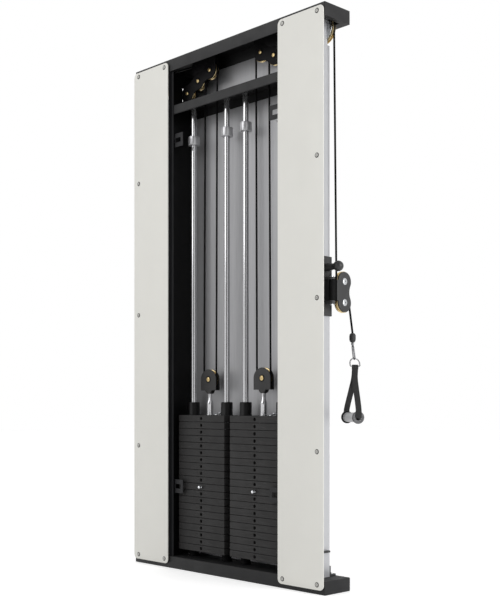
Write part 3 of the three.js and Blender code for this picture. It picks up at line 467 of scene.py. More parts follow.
collar_steel = surface("collar_steel", (186, 186, 188), 0.32, 0.55, spread=0.03, grain=0.05).material
hook_steel = surface("hook_steel", (128, 128, 130), 0.22, 1.0, spread=0.1, patches=40, grain=0.05).material
screw_white = surface("screw_white", (176, 175, 171), 0.35, 0.3, spread=0.05, grain=0.05).material
brass = surface("brass", (214, 194, 150), 0.28, 1.0, spread=0.12, patches=30, grain=0.08).material
bolt_brass = surface("bolt_brass", (190, 168, 122), 0.3, 1.0, patches=40, grain=0.05).material
silver = surface("silver_anodised", (190, 191, 194), 0.36, 0.3, spread=0.03, rough_spread=0.05, grain=0.12,
                 grain_scale=300, stretch=(1, 1, 0.02)).material
black_gloss = surface("black_gloss", (7, 7, 8), 0.45, spread=0.1, grain=0.08, **{SPECULAR: 0.2}).material
knob_black = surface("knob_black", (34, 34, 35), 0.42, grain=0.1).material
deep_black = surface("deep_black", (7, 7, 8), 0.7, spread=0.1, grain=0.1, **DULL).material
yoke_coat = surface("yoke_coat", (23, 22, 22), 0.58, grain=0.3, grain_scale=900).material
# Painted shade: the brackets' black coat drawn darker than black_coat, for the shade they stand in
bracket_coat_painted_shade = surface("bracket_coat_painted_shade", (14, 13, 14), 0.6, grain=0.3, grain_scale=900, **DULL).material
rubber = surface("rubber", (38, 38, 39), 0.62, spread=0.12, grain=0.3, grain_scale=600).material
cable_coat = surface("cable_coat", (5, 5, 6), 0.6, spread=0.1, grain=0.25, grain_scale=900, **DULL).material
grip_silver = surface("grip_silver", (228, 228, 230), 0.5, spread=0.03, grain=0.1).material
cap_grey = surface("cap_grey", (88, 88, 90), 0.6, grain=0.25).material


def channel_look(name, half_length, middle_y, half_y, top):
    """The beams' coat outside, and painted shade inside the channel: a darker tone told apart by where it
    is.
    """
    look = Look(name)
    still = look.place()
    axes = look.node("SeparateXYZ")
    look.link(still, axes.inputs["Vector"])
    inside = look.math("LESS_THAN", look.math("ABSOLUTE", axes.outputs["X"], 0), half_length)
    away = look.math("ABSOLUTE", look.math("SUBTRACT", axes.outputs["Y"], middle_y), 0)
    inside = look.math("MULTIPLY", inside, look.math("LESS_THAN", away, half_y))
    inside = look.math("MULTIPLY", inside, look.math("LESS_THAN", axes.outputs["Z"], top))
    fine = look.noise(still, 900, 2, 0.6)
    outer = look.blend_colours(fine, colour(22, 22, 23), colour(27, 27, 28))
    # Painted shade: the channel's inside is the same coat, drawn near black where shade falls
    inner = look.blend_colours(fine, colour(9, 9, 10), colour(12, 12, 13))
    mix = look.node("Mix", data_type="RGBA")
    look.link(inside, mix.inputs["Factor"])
    look.link(outer, mix.inputs[6])
    look.link(inner, mix.inputs[7])
    look.link(mix.outputs[2], look.shader.inputs["Base Color"])
    look.link(look.spread(look.noise(still, 21, 5), 0.5, 0.62), look.shader.inputs["Roughness"])
    look.link(look.bump(fine, 0.35, GRAIN_DEPTH), look.shader.inputs["Normal"])
    look.shader.inputs[SPECULAR].default_value = 0.35
    return look.material


def bay_look():
    """Satin grey back panel, black walls, and lips and catches drawn a little lighter as painted light,
    told apart by place.
    """
    between_walls, back_from, lips_to = 0.3302, 0.0695, -0.0505
    look = Look("bay_sheet")
    still = look.place()
    drawn = look.place((1, 1, 0.015))
    axes = look.node("SeparateXYZ")
    look.link(still, axes.inputs["Vector"])
    wide = look.math("LESS_THAN", look.math("ABSOLUTE", axes.outputs["X"], 0), between_walls)
    back = look.math("MULTIPLY", wide, look.math("GREATER_THAN", axes.outputs["Y"], back_from))
    fine = look.noise(drawn, 420, 3, 0.6)
    grey = look.blend_colours(fine, colour(170, 170, 172), colour(178, 178, 180))
    patch = look.noise(still, 8, 4)
    wall = look.blend_colours(patch, colour(6, 6, 7), colour(9, 9, 10))
    # Painted light: the lips are the walls' own sheet, drawn lighter where light falls on them
    lip_painted_light = look.blend_colours(patch, colour(30, 30, 32), colour(36, 36, 38))
    on_lip = look.math("MULTIPLY", wide, look.math("LESS_THAN", axes.outputs["Y"], lips_to))
    shade = look.node("Mix", data_type="RGBA")
    look.link(on_lip, shade.inputs["Factor"])
    look.link(wall, shade.inputs[6])
    look.link(lip_painted_light, shade.inputs[7])
    mix = look.node("Mix", data_type="RGBA")
    look.link(back, mix.inputs["Factor"])
    look.link(shade.outputs[2], mix.inputs[6])
    look.link(grey, mix.inputs[7])
    look.link(mix.outputs[2], look.shader.inputs["Base Color"])
    look.link(look.math("MULTIPLY", back, 0.45), look.shader.inputs["Metallic"])
    gloss = look.spread(look.noise(drawn, 30, 4), 0.36, 0.46)
    look.link(gloss, look.shader.inputs["Roughness"])
    look.link(look.bump(fine, 0.1, GRAIN_DEPTH), look.shader.inputs["Normal"])
    look.shader.inputs[SPECULAR].default_value = 0.2
    return look.material


def webbing_look():
    """Woven nylon: diagonal ribs over cross threads."""
    look = Look("webbing")
    turned = look.place(turn=(0, 0, math.radians(28)))
    rows = look.bands(turned, 90, "Z")
    threads = look.bands(turned, 160, "DIAGONAL", 0.4)
    weave = look.math("MULTIPLY", rows, threads)
    look.link(look.blend_colours(weave, colour(6, 6, 7), colour(20, 20, 22), 0.1, 0.9),
              look.shader.inputs["Base Color"])
    look.link(look.bump(weave, 0.7, 0.0006), look.shader.inputs["Normal"])
    look.shader.inputs["Roughness"].default_value = 0.82
    look.shader.inputs["Sheen Weight"].default_value = 0.25
    return look.material


bay_sheet = bay_look()
top_coat_and_shade = channel_look("top_beam_coat_and_shade", 0.5645, 0, 0.0688, 2.1965)
cross_coat_and_shade = channel_look("cross_beam_coat_and_shade", 0.36, 0.005, 0.0622, 2.0)
webbing = webbing_look()


# Pieces
def show(name, mesh, look, body, stands_for=(), angle=32):
    """Puts a finished mesh, still in millimetres, on a body."""
    mesh.transform(Matrix.Scale(MM, 4))
    mesh.materials.clear()
    mesh.materials.append(look)
    mesh.polygons.foreach_set("use_smooth", [True] * len(mesh.polygons))
    mesh.set_sharp_from_angle(angle=math.radians(angle))
    mesh.name = name
    obj = bpy.data.objects.new(name, mesh)
    bpy.context.scene.collection.objects.link(obj)
    if body:
        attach(obj, body)
    if stands_for:
        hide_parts(*stands_for)
    return obj


def pair(name, mesh, look, body, stands_for=(), angle=32):
    """A right-hand piece and its mirror image. With an empty body, the pieces are put on no body."""
    made = {}
    for side, sign in SIDES:
        copy = mesh.copy()
        if sign < 0:
            copy.transform(Matrix.Diagonal((-1, 1, 1, 1)))
            copy.flip_normals()
        at = body if body in ("frame", "") else f"{side}_{body}"
        named = [n if n in SHARED else f"{side}_{n}" for n in stands_for]
        made[side] = show(f"{side}_{name}", copy, look, at, named, angle)
    return made


def turn(mesh, degrees, axis="Z"):
    mesh.transform(Matrix.Rotation(math.radians(degrees), 4, axis))
    return mesh


def move(mesh, x=0, y=0, z=0):
    mesh.transform(Matrix.Translation((x, y, z)))
    return mesh


# Cable
def arc3(centre, radius, start, end, make, step=6):
    steps = max(2, int(abs(end - start) / step))
    return [make(u, v) for u, v in arc(centre[0], centre[1], radius, start, end, steps)]


def along(a, b, step=20):
    """Points of a straight stretch, close enough together to bend at a joint."""
    a, b = Vector(a), Vector(b)
    steps = max(2, round((b - a).length / step))
    return [a.lerp(b, i / steps) for i in range(steps + 1)]


def stack_plane(x, z):
    return (x, STACK_Y, z)


def head_plane(x, z):
    return (x, HEAD_Y, z)


def block_plane(y, z):
    return (HINGE_X, y, z)


def tangent(a, ra, b, rb):
    """Direction, in degrees, to where an outer tangent touches two wheels on the left side of the way."""
    way = math.atan2(b[1] - a[1], b[0] - a[0])
    lean = math.asin((rb - ra) / math.hypot(b[0] - a[0], b[1] - a[1]))
    return math.degrees(way + lean) + 90


SPLIT_Z = MIDDLE[1]
moving_arc = arc3((STACK_X, MOVING_Z), MOVING_WHEEL, 180, 360, stack_plane)
pair("cable_round_moving_wheel", tube(moving_arc, CABLE), cable_coat, "stack", ["lift_cable"])
for label, start, top_wheel in (("inner", moving_arc[0], INNER), ("outer", moving_arc[-1], MIDDLE)):
    strand = along(start, stack_plane(top_wheel[0] - WHEEL, SPLIT_Z), 60)
    for side, piece in pair(f"cable_strand_{label}", tube(strand, CABLE), cable_coat, "frame",
                            ["lift_cable"]).items():
        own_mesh(piece)

touch = tangent(INNER, WHEEL, HEAD, HEAD_WHEEL)
upper_run = ([stack_plane(INNER[0] - WHEEL, SPLIT_Z)]
             + arc3(INNER, WHEEL, 180, touch, stack_plane)
             + arc3(HEAD, HEAD_WHEEL, touch, 0, head_plane))
pair("cable_over_top", tube(upper_run, CABLE), cable_coat, "frame", ["upper_cable"])

touch = tangent(MIDDLE, WHEEL, OUTER, WHEEL)
back_run = (arc3(MIDDLE, WHEEL, 180, touch, stack_plane) + arc3(OUTER, WHEEL, touch, 0, stack_plane)
            + arc3(FOOT, FOOT_WHEEL, 180, 360, stack_plane))
pair("cable_to_foot", tube(back_run, CABLE), cable_coat, "frame", ["back_cable"])

SWIVEL_TOP = 1300
head_exit = Vector(head_plane(HEAD[0] + HEAD_WHEEL, HEAD[1]))
entry = Vector(block_plane(BLOCK_Y - WHEEL, UPPER_Z))
share = (HEAD[1] - SWIVEL_TOP) / (HEAD[1] - UPPER_Z)
bend = head_exit.lerp(entry, share)
for side, piece in pair("cable_down_column", tube(along(head_exit, bend), CABLE), cable_coat, "",
                        ["column_cable"]).items():
    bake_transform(piece)
for side, piece in pair("cable_into_block", tube(along(bend, entry, 8), CABLE), cable_coat, "",
                        ["column_cable"]).items():
    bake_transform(piece)

ANCHOR_Z = 1062
rise_x = FOOT[0] + FOOT_WHEEL
rise = along(stack_plane(rise_x, FOOT[1]), stack_plane(rise_x, ANCHOR_Z))
for side, piece in pair("cable_up_to_anchor", tube(rise, CABLE), cable_coat, "",
                        ["lower_cable"]).items():
    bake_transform(piece)

crossing = math.degrees(math.acos(2 * WHEEL / (UPPER_Z - LOWER_Z)))
LEAN = 10.7
leave = (BLOCK_Y + WHEEL * math.cos(math.radians(LEAN)), LOWER_Z + WHEEL * math.sin(math.radians(LEAN)))
IN_STOP = 6
drop = leave[1] - HANDLE_Z + IN_STOP
through = (arc3((BLOCK_Y, UPPER_Z), WHEEL, 180, 270 - crossing, block_plane)
           + arc3((BLOCK_Y, LOWER_Z), WHEEL, 90 - crossing, LEAN, block_plane)
           + [block_plane(leave[0] + drop * math.tan(math.radians(LEAN)), leave[1] - drop)])
pair("cable_end", tube(through, CABLE), cable_coat, "swivel", ["end_cable"])
stop_profile = [(0, 0), (5.2, 0), (8.5, -1.5), (11.2, -5), (12.4, -10), (12.5, -18), (12.2, -25),
                (10.6, -31), (7.5, -34.8), (4.8, -36), (0, -36)]
pair("cable_stop", revolve(stop_profile, (HINGE_X, HANDLE_Y, HANDLE_Z)), rubber, "swivel",
     ["end_cable"])


# Wheels and bolts
def wheel(outer, pitch, at, axis):
    """A grooved wheel with a raised hub, a turned web and a bearing seat."""
    floor = pitch - 4
    rim = pitch - 9
    half = [(floor, 1.2), (floor + 1.2, 3.2), (outer, 5.2), (outer, 5.8), (outer - 0.8, 6.5),
            (rim + 2.2, 6.2), (rim + 1.4, 5.6), (rim, 3.6), (13, 3.6), (12, 5.6), (11, 6.5), (7, 6.5)]
    profile = [(r, -h) for r, h in reversed(half)] + half + [(7, -6.5)]
    return revolve(profile, at, axis, 64)


def bolted(at, axis, radius, height, sign, socket=3.4):
    """A domed head with a hexagon socket, standing along an axis from its seat."""
    dome = [(radius, 0), (radius, 0.8), (radius * 0.93, height * 0.55), (radius * 0.72, height * 0.86),
            (radius * 0.5, height), (socket + 0.8, height)]
    head = [(0, 0)] + [(r, h * sign) for r, h in dome] + [(0, height * 0.9 * sign)]
    low, seat, high = height * 0.5 * sign, height * 0.9 * sign, height * 1.12 * sign
    rim = [(socket + 1.6, seat), (socket + 1.2, high), (socket, high), (socket, low), (socket + 1.6, seat)]
    return together(revolve(head, at, axis, 32), revolve(rim, at, axis, 6))


SMALL = 38.5
for node, (x, z), y, outer, pitch in (
    ("moving_wheel", (STACK_X, MOVING_Z), STACK_Y, 42.5, MOVING_WHEEL),
    ("top_wheel_inner", INNER, STACK_Y, SMALL, WHEEL), ("top_wheel_middle", MIDDLE, STACK_Y, SMALL, WHEEL),
    ("top_wheel_outer", OUTER, STACK_Y, SMALL, WHEEL), ("head_wheel", HEAD, HEAD_Y, 55, HEAD_WHEEL),
    ("foot_wheel", FOOT, STACK_Y, 54, FOOT_WHEEL),
):
    pair(f"{node}_turned", wheel(outer, pitch, (x, y, z), "Y"), brass, node, [node])
for node, z in (("block_wheel_upper", UPPER_Z), ("block_wheel_lower", LOWER_Z)):
    pair(f"{node}_turned", wheel(SMALL, WHEEL, (HINGE_X, BLOCK_Y, z), "X"), brass, node, [node])


def shank(at, axis):
    return rod(6, -CHEEK_OUT - 1.5, CHEEK_OUT + 1.5, at, axis)


def washer(at, radius):
    return rod(radius, -CHEEK_OUT - 1.2, -CHEEK_OUT, at, "Y", 0.3)


# Beams
def soften(piece, width):
    """Bevels a piece's edges, with the width in millimetres."""
    bevel = piece.modifiers.new("edges", "BEVEL")
    bevel.width = width * MM
    bevel.segments = 2
    bevel.limit_method = "ANGLE"


BEAM = (1136, 144, 52)
BEAM_TOP = 2200


def beam_with_end_caps():
    """Top beam: a channel open below, closed at both ends."""
    bm = bmesh.new()
    middle = Matrix.Translation((0, 0, BEAM_TOP - BEAM[2] / 2))
    bmesh.ops.create_cube(bm, size=1, matrix=middle @ Matrix.Diagonal((*BEAM, 1)))
    edges = [e for e in bm.edges if max(v.co.z for v in e.verts) > BEAM_TOP - 10]
    bmesh.ops.bevel(bm, geom=edges, offset=3.5, segments=4, profile=0.5, affect="EDGES")
    floor = [f for f in bm.faces if all(v.co.z < BEAM_TOP - BEAM[2] + 1 for v in f.verts)]
    bmesh.ops.delete(bm, geom=floor, context="FACES")
    mesh = bpy.data.meshes.new("shape")
    bm.to_mesh(mesh)
    bm.free()
    return mesh


top_channel = show("top_channel", beam_with_end_caps(), top_coat_and_shade, "frame", ["top_beam"])
thick = top_channel.modifiers.new("wall", "SOLIDIFY")
thick.thickness = 4 * MM
thick.offset = -1
soften(top_channel, 0.6)

underside = [(430, 36), (545, 36), (545, -69), (565, -69), (565, 69), (430, 69)]
pair("beam_underside", plate([underside], 2148.05, 2152, "XY", 0.3), anthracite, "frame")

bar = plate([rounded(-72, 72, 0, BEAM[2], 4, 5)], -BEAM[0] / 2, BEAM[0] / 2, "YZ", 1.2)
show("bottom_bar", bar, anthracite, "frame", ["bottom_beam"])

# Filler under the back sheet, where the bar's rounded rear edge would let light through
sheet_foot = [(-332, 67), (332, 67), (332, 72), (-332, 72)]
show("sheet_foot", plate([sheet_foot], 46, 53, "XY", 0.2), anthracite, "frame")

for node, look in (("cross_beam", cross_coat_and_shade), ("housing", bay_sheet)):
    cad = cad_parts[node]
    cad.data.materials.clear()
    cad.data.materials.append(look)
    soften(cad, 0.5)

foot_cheek = [(426, 52)] + arc(FOOT[0], FOOT[1], 40, 0, 180, 24) + [(346, 52)]
foot_parts = [plate([foot_cheek], STACK_Y + low, STACK_Y + high, "XZ") for low, high in CHEEKS]
foot_parts += [slab((344, STACK_Y - 24, 51), (428, STACK_Y - CHEEK_OUT + 1, 55)),
               slab((344, STACK_Y + CHEEK_OUT - 1, 51), (428, STACK_Y + 24, 55))]
pair("foot_cheeks", together(*foot_parts), bracket_coat_painted_shade, "frame", ["bottom_beam"])

top_parts = []
top_outline = lobes([INNER, MIDDLE, OUTER], 37, 27)
for low, high in CHEEKS:
    top_parts.append(plate([top_outline], STACK_Y + low, STACK_Y + high, "XZ"))
    top_parts.append(slab((INNER[0] - 36, STACK_Y + low + 0.3, INNER[1]),
                          (MIDDLE[0] + 36, STACK_Y + high - 0.3, 2197)))
pair("top_cheeks", together(*top_parts), bracket_coat_painted_shade, "frame", ["top_beam"])

bolts, washers, shanks = [], [], []
for x, z in (INNER, MIDDLE, OUTER, FOOT):
    bolts.append(bolted((x, STACK_Y - CHEEK_OUT - 1, z), "Y", 9, 3.5, -1))
    washers.append(washer((x, STACK_Y, z), 13))
    shanks.append(shank((x, STACK_Y, z), "Y"))
pair("wheel_bolts", together(*bolts), bolt_brass, "frame")
pair("wheel_washers", together(*washers), deep_black, "frame")
pair("wheel_axles", together(*shanks), zinc, "frame")

# Front panels with their screws
sheet = plate([rounded(332, 568, 18, 2188, 20, 12)], PANEL_FRONT, PANEL_FRONT + 4, "XZ", 0.9)
pair("panel_sheet", sheet, off_white, "frame", ["front_panel"])
for side, sign, heights in (("left", -1, (524, 1105, 1692)), ("right", 1, (532, 1104, 1633))):
    spacers, screws, rings = [], [], []
    for x, z in [(357, 38), (357, 2170), (536, 38), (536, 2170)] + [(536, z) for z in heights]:
        x *= sign
        spacers.append(rod(8, -78, -72.2, (x, 0, z), "Y"))
        screws.append(bolted((x, PANEL_FRONT, z), "Y", 7.4, 2.8, -1, 2.8))
        # Painted shade: a dark ring round each screw head and a dark disc in its socket
        seat = [(7, -79.5), (9.6, -79.5), (9.6, -80.3), (7, -81.4), (7, -79.5)]
        rings.append(revolve(seat, (x, 0, z), "Y"))
        rings.append(rod(2.8, -82.6, -82, (x, 0, z), "Y", 0.1, 6))
    show(f"{side}_panel_spacers", together(*spacers), black_coat, "frame")
    show(f"{side}_panel_screws", together(*screws), screw_white, "frame")
    show(f"{side}_panel_screw_shade_rings", together(*rings), deep_black, "frame")

# Guide rods, collars and bushings
COLLAR = (1830, 1867)
collar_middle = sum(COLLAR) / 2
slit_out = math.degrees(math.asin(1.5 / 25))
slit_in = math.degrees(math.asin(1.5 / 12.4))
for node, x in zip(("inner", "outer"), ROD_XS):
    bar = rod(12.5, ON_BAR, 1997.7, (x, STACK_Y, 0), "Z", 1, 40)
    pair(f"guide_rod_{node}_bar", bar, rod_chrome, "frame", [f"guide_rod_{node}"])
    ring = (arc(x, STACK_Y, 25, -90 + slit_out, 270 - slit_out, 48)
            + arc(x, STACK_Y, 12.4, 270 - slit_in, -90 + slit_in, 32))
    screw = together(rod(3.2, -9, 9, (x, STACK_Y - 18.5, collar_middle), "X"),
                     rod(4.6, 9, 13, (x, STACK_Y - 18.5, collar_middle), "X"))
    pair(f"stop_collar_{node}", together(plate([ring], *COLLAR, "XY", 1.2), screw), collar_steel, "frame",
         [f"guide_rod_{node}"])


# Plates
def plates(bottom, count):
    made = []
    for i in range(count):
        low = bottom + i * PITCH + SEAM
        high = low + PITCH - 2 * SEAM
        outline = rounded(STACK_X - STACK_HALF, STACK_X + STACK_HALF, low, high, 2.2, 3)
        hole = circle(STACK_X, (low + high) / 2, 6.9, 24)
        made.append(plate([outline, hole], STACK_FRONT, STACK_BACK, "XZ", 1.2))
    return together(*made)


pair("resting_pile", plates(STACK_BOTTOM, RESTING_COUNT), cast_plate, "frame", ["resting_plates"])
pair("lifted_pile", plates(RESTING_TOP, LIFTED_COUNT), cast_plate, "stack", ["lifted_plates"])
buffers, bushings = [], []
for x in ROD_XS:
    buffers.append(revolve([(13.5, ON_BAR), (22, ON_BAR), (22.5, 55), (20, 60), (20, 74), (22.5, 79),
                            (22, 83), (13.5, 83), (13.5, ON_BAR)], (x, STACK_Y, 0)))
    bushings.append(revolve([(13.3, 661), (25.5, 661), (25.5, 664), (24.6, 666), (24.6, 713),
                             (23.2, 716.4), (21.5, 717), (13.3, 717), (13.3, 661)], (x, STACK_Y, 0)))
# Painted shade: the rubber buffers take deep_black, darker than rubber, for the shade under the plates
pair("buffers", together(*buffers), deep_black, "frame", ["resting_plates"])
pair("bushings", together(*bushings), black_gloss, "stack", ["lifted_plates"])

# Moving block
stem = revolve([(0, 661), (15.5, 661), (15.5, 665), (13.6, 668), (13.6, 706), (14, 709), (13, 717),
                (10.5, 724), (8.8, 728), (8.5, 752), (0, 752)], (STACK_X, STACK_Y, 0), "Z", 32)
holes = [circle(STACK_X, STACK_BOTTOM + (i + 0.5) * PITCH, 6.5, 20)
         for i in range(RESTING_COUNT + LIFTED_COUNT - 1)]
bar = plate([rounded(STACK_X - 11, STACK_X + 11, 86, 664, 2, 3)] + holes, STACK_Y - 11, STACK_Y + 11, "XZ",
            0.8)
pair("stem_and_bar", together(stem, bar), rod_chrome, "stack", ["moving_block"])

WING_Z = MOVING_Z - 46.5
YOKE_HALF = 48
spread = math.degrees(math.asin((772 - WING_Z) / 20))
crown = [(STACK_X + YOKE_HALF * math.cos(a), MOVING_Z + 43 * math.sin(a))
         for a in (math.pi * i / 40 for i in range(41))]
cheek = (crown + [(STACK_X - YOKE_HALF, WING_Z)]
         + arc(STACK_X, 772, 20, 180 + spread, 360 - spread, 16) + [(STACK_X + YOKE_HALF, WING_Z)])
yoke = [plate([cheek], STACK_Y + low, STACK_Y + high, "XZ") for low, high in CHEEKS]
yoke.append(slab((STACK_X - 47.5, STACK_Y - CHEEK_IN - 1, WING_Z + 0.3),
                 (STACK_X + 47.5, STACK_Y + CHEEK_IN + 1, WING_Z + 4)))
yoke.append(rod(12, 753, WING_Z + 2, (STACK_X, STACK_Y, 0)))
pair("yoke_cheeks", together(*yoke), yoke_coat, "stack", ["moving_block"])
yoke_bolt = bolted((STACK_X, STACK_Y - CHEEK_OUT - 1, MOVING_Z), "Y", 10.5, 3.5, -1)
pair("yoke_bolt", yoke_bolt, bolt_brass, "stack", ["moving_block"])
pair("yoke_washer", washer((STACK_X, STACK_Y, MOVING_Z), 14), deep_black, "stack")
pair("yoke_axle", shank((STACK_X, STACK_Y, MOVING_Z), "Y"), zinc, "stack", ["moving_block"])

for side, sign in SIDES:
    ring = []
    for i in range(40):
        a = math.tau * i / 40
        ring.append((sign * STACK_X + 47 + 15.5 * math.cos(a), STACK_Y + 15.5 * math.sin(a),
                     STACK_TOP + 5 + 3.4 * math.sin(a)))
    show(f"{side}_head_plate_ring", tube(ring, 1.8, 10, closed=True), chrome, f"{side}_stack")

# Selector pin
pin_z = RESTING_TOP + PITCH / 2
ball = [(0, -55.2)] + [(7.6 * math.cos(math.radians(a)), -47.5 + 7.6 * math.sin(math.radians(a)))
                       for a in range(-80, 70, 10)] + [(5, -39.4), (5, 24.5), (4.4, 25), (0, 25)]
pair("selector_pin_turned", revolve(ball, (STACK_X, 0, pin_z), "Y", 28), chrome, "selector_pin",
     ["selector_pin"])

# Column
COLUMN = (COLUMN_X - COLUMN_HALF, COLUMN_X + COLUMN_HALF, COLUMN_Y - COLUMN_HALF, COLUMN_Y + COLUMN_HALF)
NOTCH_Z = 2070
bore = rounded(COLUMN_X - 26, COLUMN_X + 26, COLUMN_Y - 26, COLUMN_Y + 26, 2, 3)
column = plate([rounded(*COLUMN, 4, 5), bore], ON_BAR, NOTCH_Z, "XY", 0.4)
open_outline = ([(COLUMN[0], 10), (COLUMN[0] + 4, 10), (COLUMN[0] + 4, COLUMN[2] + 4),
                 (COLUMN[1] - 4, COLUMN[2] + 4), (COLUMN[1] - 4, 10), (COLUMN[1], 10)]
                + arc(COLUMN[1] - 4, COLUMN[2] + 4, 4, 0, -90, 5)
                + arc(COLUMN[0] + 4, COLUMN[2] + 4, 4, -90, -180, 5))
head = plate([open_outline], NOTCH_Z - 0.4, 2195.7, "XY", 0.3)
pair("column_tube", together(column, head), silver, "frame", ["column"])
head_parts = []
for low, high in CHEEKS:
    head_parts.append(plate([circle(*HEAD, 48, 64)], HEAD_Y + low, HEAD_Y + high, "XZ"))
    head_parts.append(slab((COLUMN[0], HEAD_Y + low + 0.2, HEAD[1]),
                           (COLUMN[1], HEAD_Y + high - 0.2, 2195)))
pair("head_cheeks", together(*head_parts), zinc, "frame", ["column"])
head_bolt = together(bolted((HEAD[0], HEAD_Y - CHEEK_OUT, HEAD[1]), "Y", 10, 3.5, -1),
                     shank((HEAD[0], HEAD_Y, HEAD[1]), "Y"))
pair("head_bolt", head_bolt, bolt_brass, "frame", ["column"])
angle = [(24, ON_BAR), (62, ON_BAR), (62, 60.3), (33, 60.3), (33, 92.3), (24, 92.3)]
angle_screws = [bolted((COLUMN_X + x, 48, 60.3), "Z", 6, 4, 1, 2.4) for x in (-16, 16)]
pair("foot_angle", plate([angle], COLUMN[0] + 3, COLUMN[1] - 3, "YZ"), black_coat, "frame",
     ["column"])
pair("foot_angle_screws", together(*angle_screws), zinc, "frame")
end_stop = slab((COLUMN[1] - 2, COLUMN_Y - 20, 147), (COLUMN[1] + 11, COLUMN_Y + 20, 154), 1)
pair("end_stop", end_stop, rubber, "frame", ["column"])

# Carriage
SLEEVE = 36.5
sleeve = plate([rounded(COLUMN_X - SLEEVE, COLUMN_X + SLEEVE, COLUMN_Y - SLEEVE, COLUMN_Y + SLEEVE, 6, 6),
                rounded(COLUMN_X - 30.8, COLUMN_X + 30.8, COLUMN_Y - 30.8, COLUMN_Y + 30.8, 3, 4)],
               1042, 1268, "XY", 1.8)
FACE_X = COLUMN_X + SLEEVE
KNOB_Z = 1225
lug_parts = []
for low, high in ((1086, 1098), (1178, 1186)):
    outline = ([(FACE_X - 3, COLUMN_Y - 13)] + arc(HINGE_X, COLUMN_Y, 13, -90, 90, 20)
               + [(FACE_X - 3, COLUMN_Y + 13)])
    lug_parts.append(plate([outline, circle(HINGE_X, COLUMN_Y, 5.6, 24)], low, high, "XY", 0.8))
boss = revolve([(6.6, FACE_X - 4), (15, FACE_X - 4), (15, FACE_X + 12.5), (13.6, FACE_X + 14),
                (6.6, FACE_X + 14), (6.6, FACE_X - 4)], (0, COLUMN_Y, KNOB_Z), "X", 32)
anchor = slab((429, 7, 1062), (444, 21, 1076), 1)
pair("sleeve_body", together(sleeve, *lug_parts, boss, anchor), black_coat, "carriage",
     ["carriage_sleeve"])
BALL_X = FACE_X + 61
knob = [(0, 509), (6, 509), (6, 529.3), (16.4, 529.3), (16, 531), (13, 544), (11.8, 552), (12, 556)]
knob += [(20 * math.sin(math.radians(a)), BALL_X - 20 * math.cos(math.radians(a)))
         for a in range(40, 180, 8)]
knob.append((0, BALL_X + 20))
pair("clamp_knob_turned", revolve(knob, (0, COLUMN_Y, KNOB_Z), "X", 48), knob_black, "clamp_knob",
     ["clamp_knob"])

# Swivelling block
LOBE = 36.5
WAIST = 27
half_gap = (UPPER_Z - LOWER_Z) / 2
fillet = (half_gap ** 2 + WAIST ** 2 - LOBE ** 2) / (2 * (LOBE - WAIST))
touch = math.degrees(math.atan2(half_gap, WAIST + fillet))
low_in = math.degrees(math.asin(5 / LOBE))
high_in = math.degrees(math.asin(3 / LOBE))
rim = (arc(BLOCK_Y, LOWER_Z, LOBE, 180 - low_in, 360 + touch, 40)
       + arc(BLOCK_Y + WAIST + fillet, LOWER_Z + half_gap, fillet, 180 + touch, 180 - touch, 14)[1:-1]
       + arc(BLOCK_Y, UPPER_Z, LOBE, -touch, 180 - high_in, 40))
block_parts = []
for start, low, high in ((COLUMN_Y, -CHEEK_OUT, -CHEEK_IN), (14, CHEEK_IN, CHEEK_OUT)):
    outline = [(start, 1099)] + rim + [(start, 1177)]
    block_parts.append(plate([outline], HINGE_X + low, HINGE_X + high, "YZ", 0.7))
pair("block_cheeks", together(*block_parts), black_coat, "swivel", ["swivel_block"])
# Painted shade: the hinge barrel and its web take deep_black, darker than the cheeks' coat, for the shade
# in the recessed hinge
barrel = together(rod(11, 1099, 1177, (HINGE_X, COLUMN_Y, 0)),
                  slab((HINGE_X - 8.5, COLUMN_Y, 1100), (HINGE_X + 8.5, 16, 1176), 0.4))
pair("block_barrel", barrel, deep_black, "swivel", ["swivel_block"])
pins = [rod(5, 1079, 1193, (HINGE_X, COLUMN_Y, 0)), rod(8.4, 1082.5, 1085.6, (HINGE_X, COLUMN_Y, 0)),
        rod(8.4, 1186.4, 1189.5, (HINGE_X, COLUMN_Y, 0))]
sockets = []
for z in (LOWER_Z, UPPER_Z):
    for sign in (-1, 1):
        pins.append(bolted((HINGE_X + sign * CHEEK_OUT, BLOCK_Y, z), "X", 13, 3.5, sign, 5))
        # Painted shade: a dark disc in each bolt's socket
        sockets.append(rod(5, 2.9 * sign - 0.4, 2.9 * sign + 0.4,
                           (HINGE_X + sign * CHEEK_OUT, BLOCK_Y, z), "X", 0.1, 6))
    pins.append(shank((HINGE_X, BLOCK_Y, z), "X"))
pair("block_pins", together(*pins), zinc, "swivel", ["swivel_block"])
pair("block_pin_socket_shade", together(*sockets), rubber, "swivel")


# Handle, made about the cable's end and turned into place
HANDLE_TURN = -28
SWAY = 11
HOOK_TOP, HOOK_END, STRAP_BENT = -42, -126, -296


def hang(mesh):
    return move(turn(mesh, HANDLE_TURN), HINGE_X, HANDLE_Y, HANDLE_Z)


def sway(mesh):
    """The hook leans out to one side, and the strap comes back under the cable's end."""
    for corner in mesh.vertices:
        z = corner.co.z
        out = SWAY * min(max((HOOK_TOP - z) / (HOOK_TOP - HOOK_END), 0), 1)
        back = SWAY * min(max((HOOK_END - z) / (HOOK_END - STRAP_BENT), 0), 1)
        corner.co.y += out - back
    return mesh


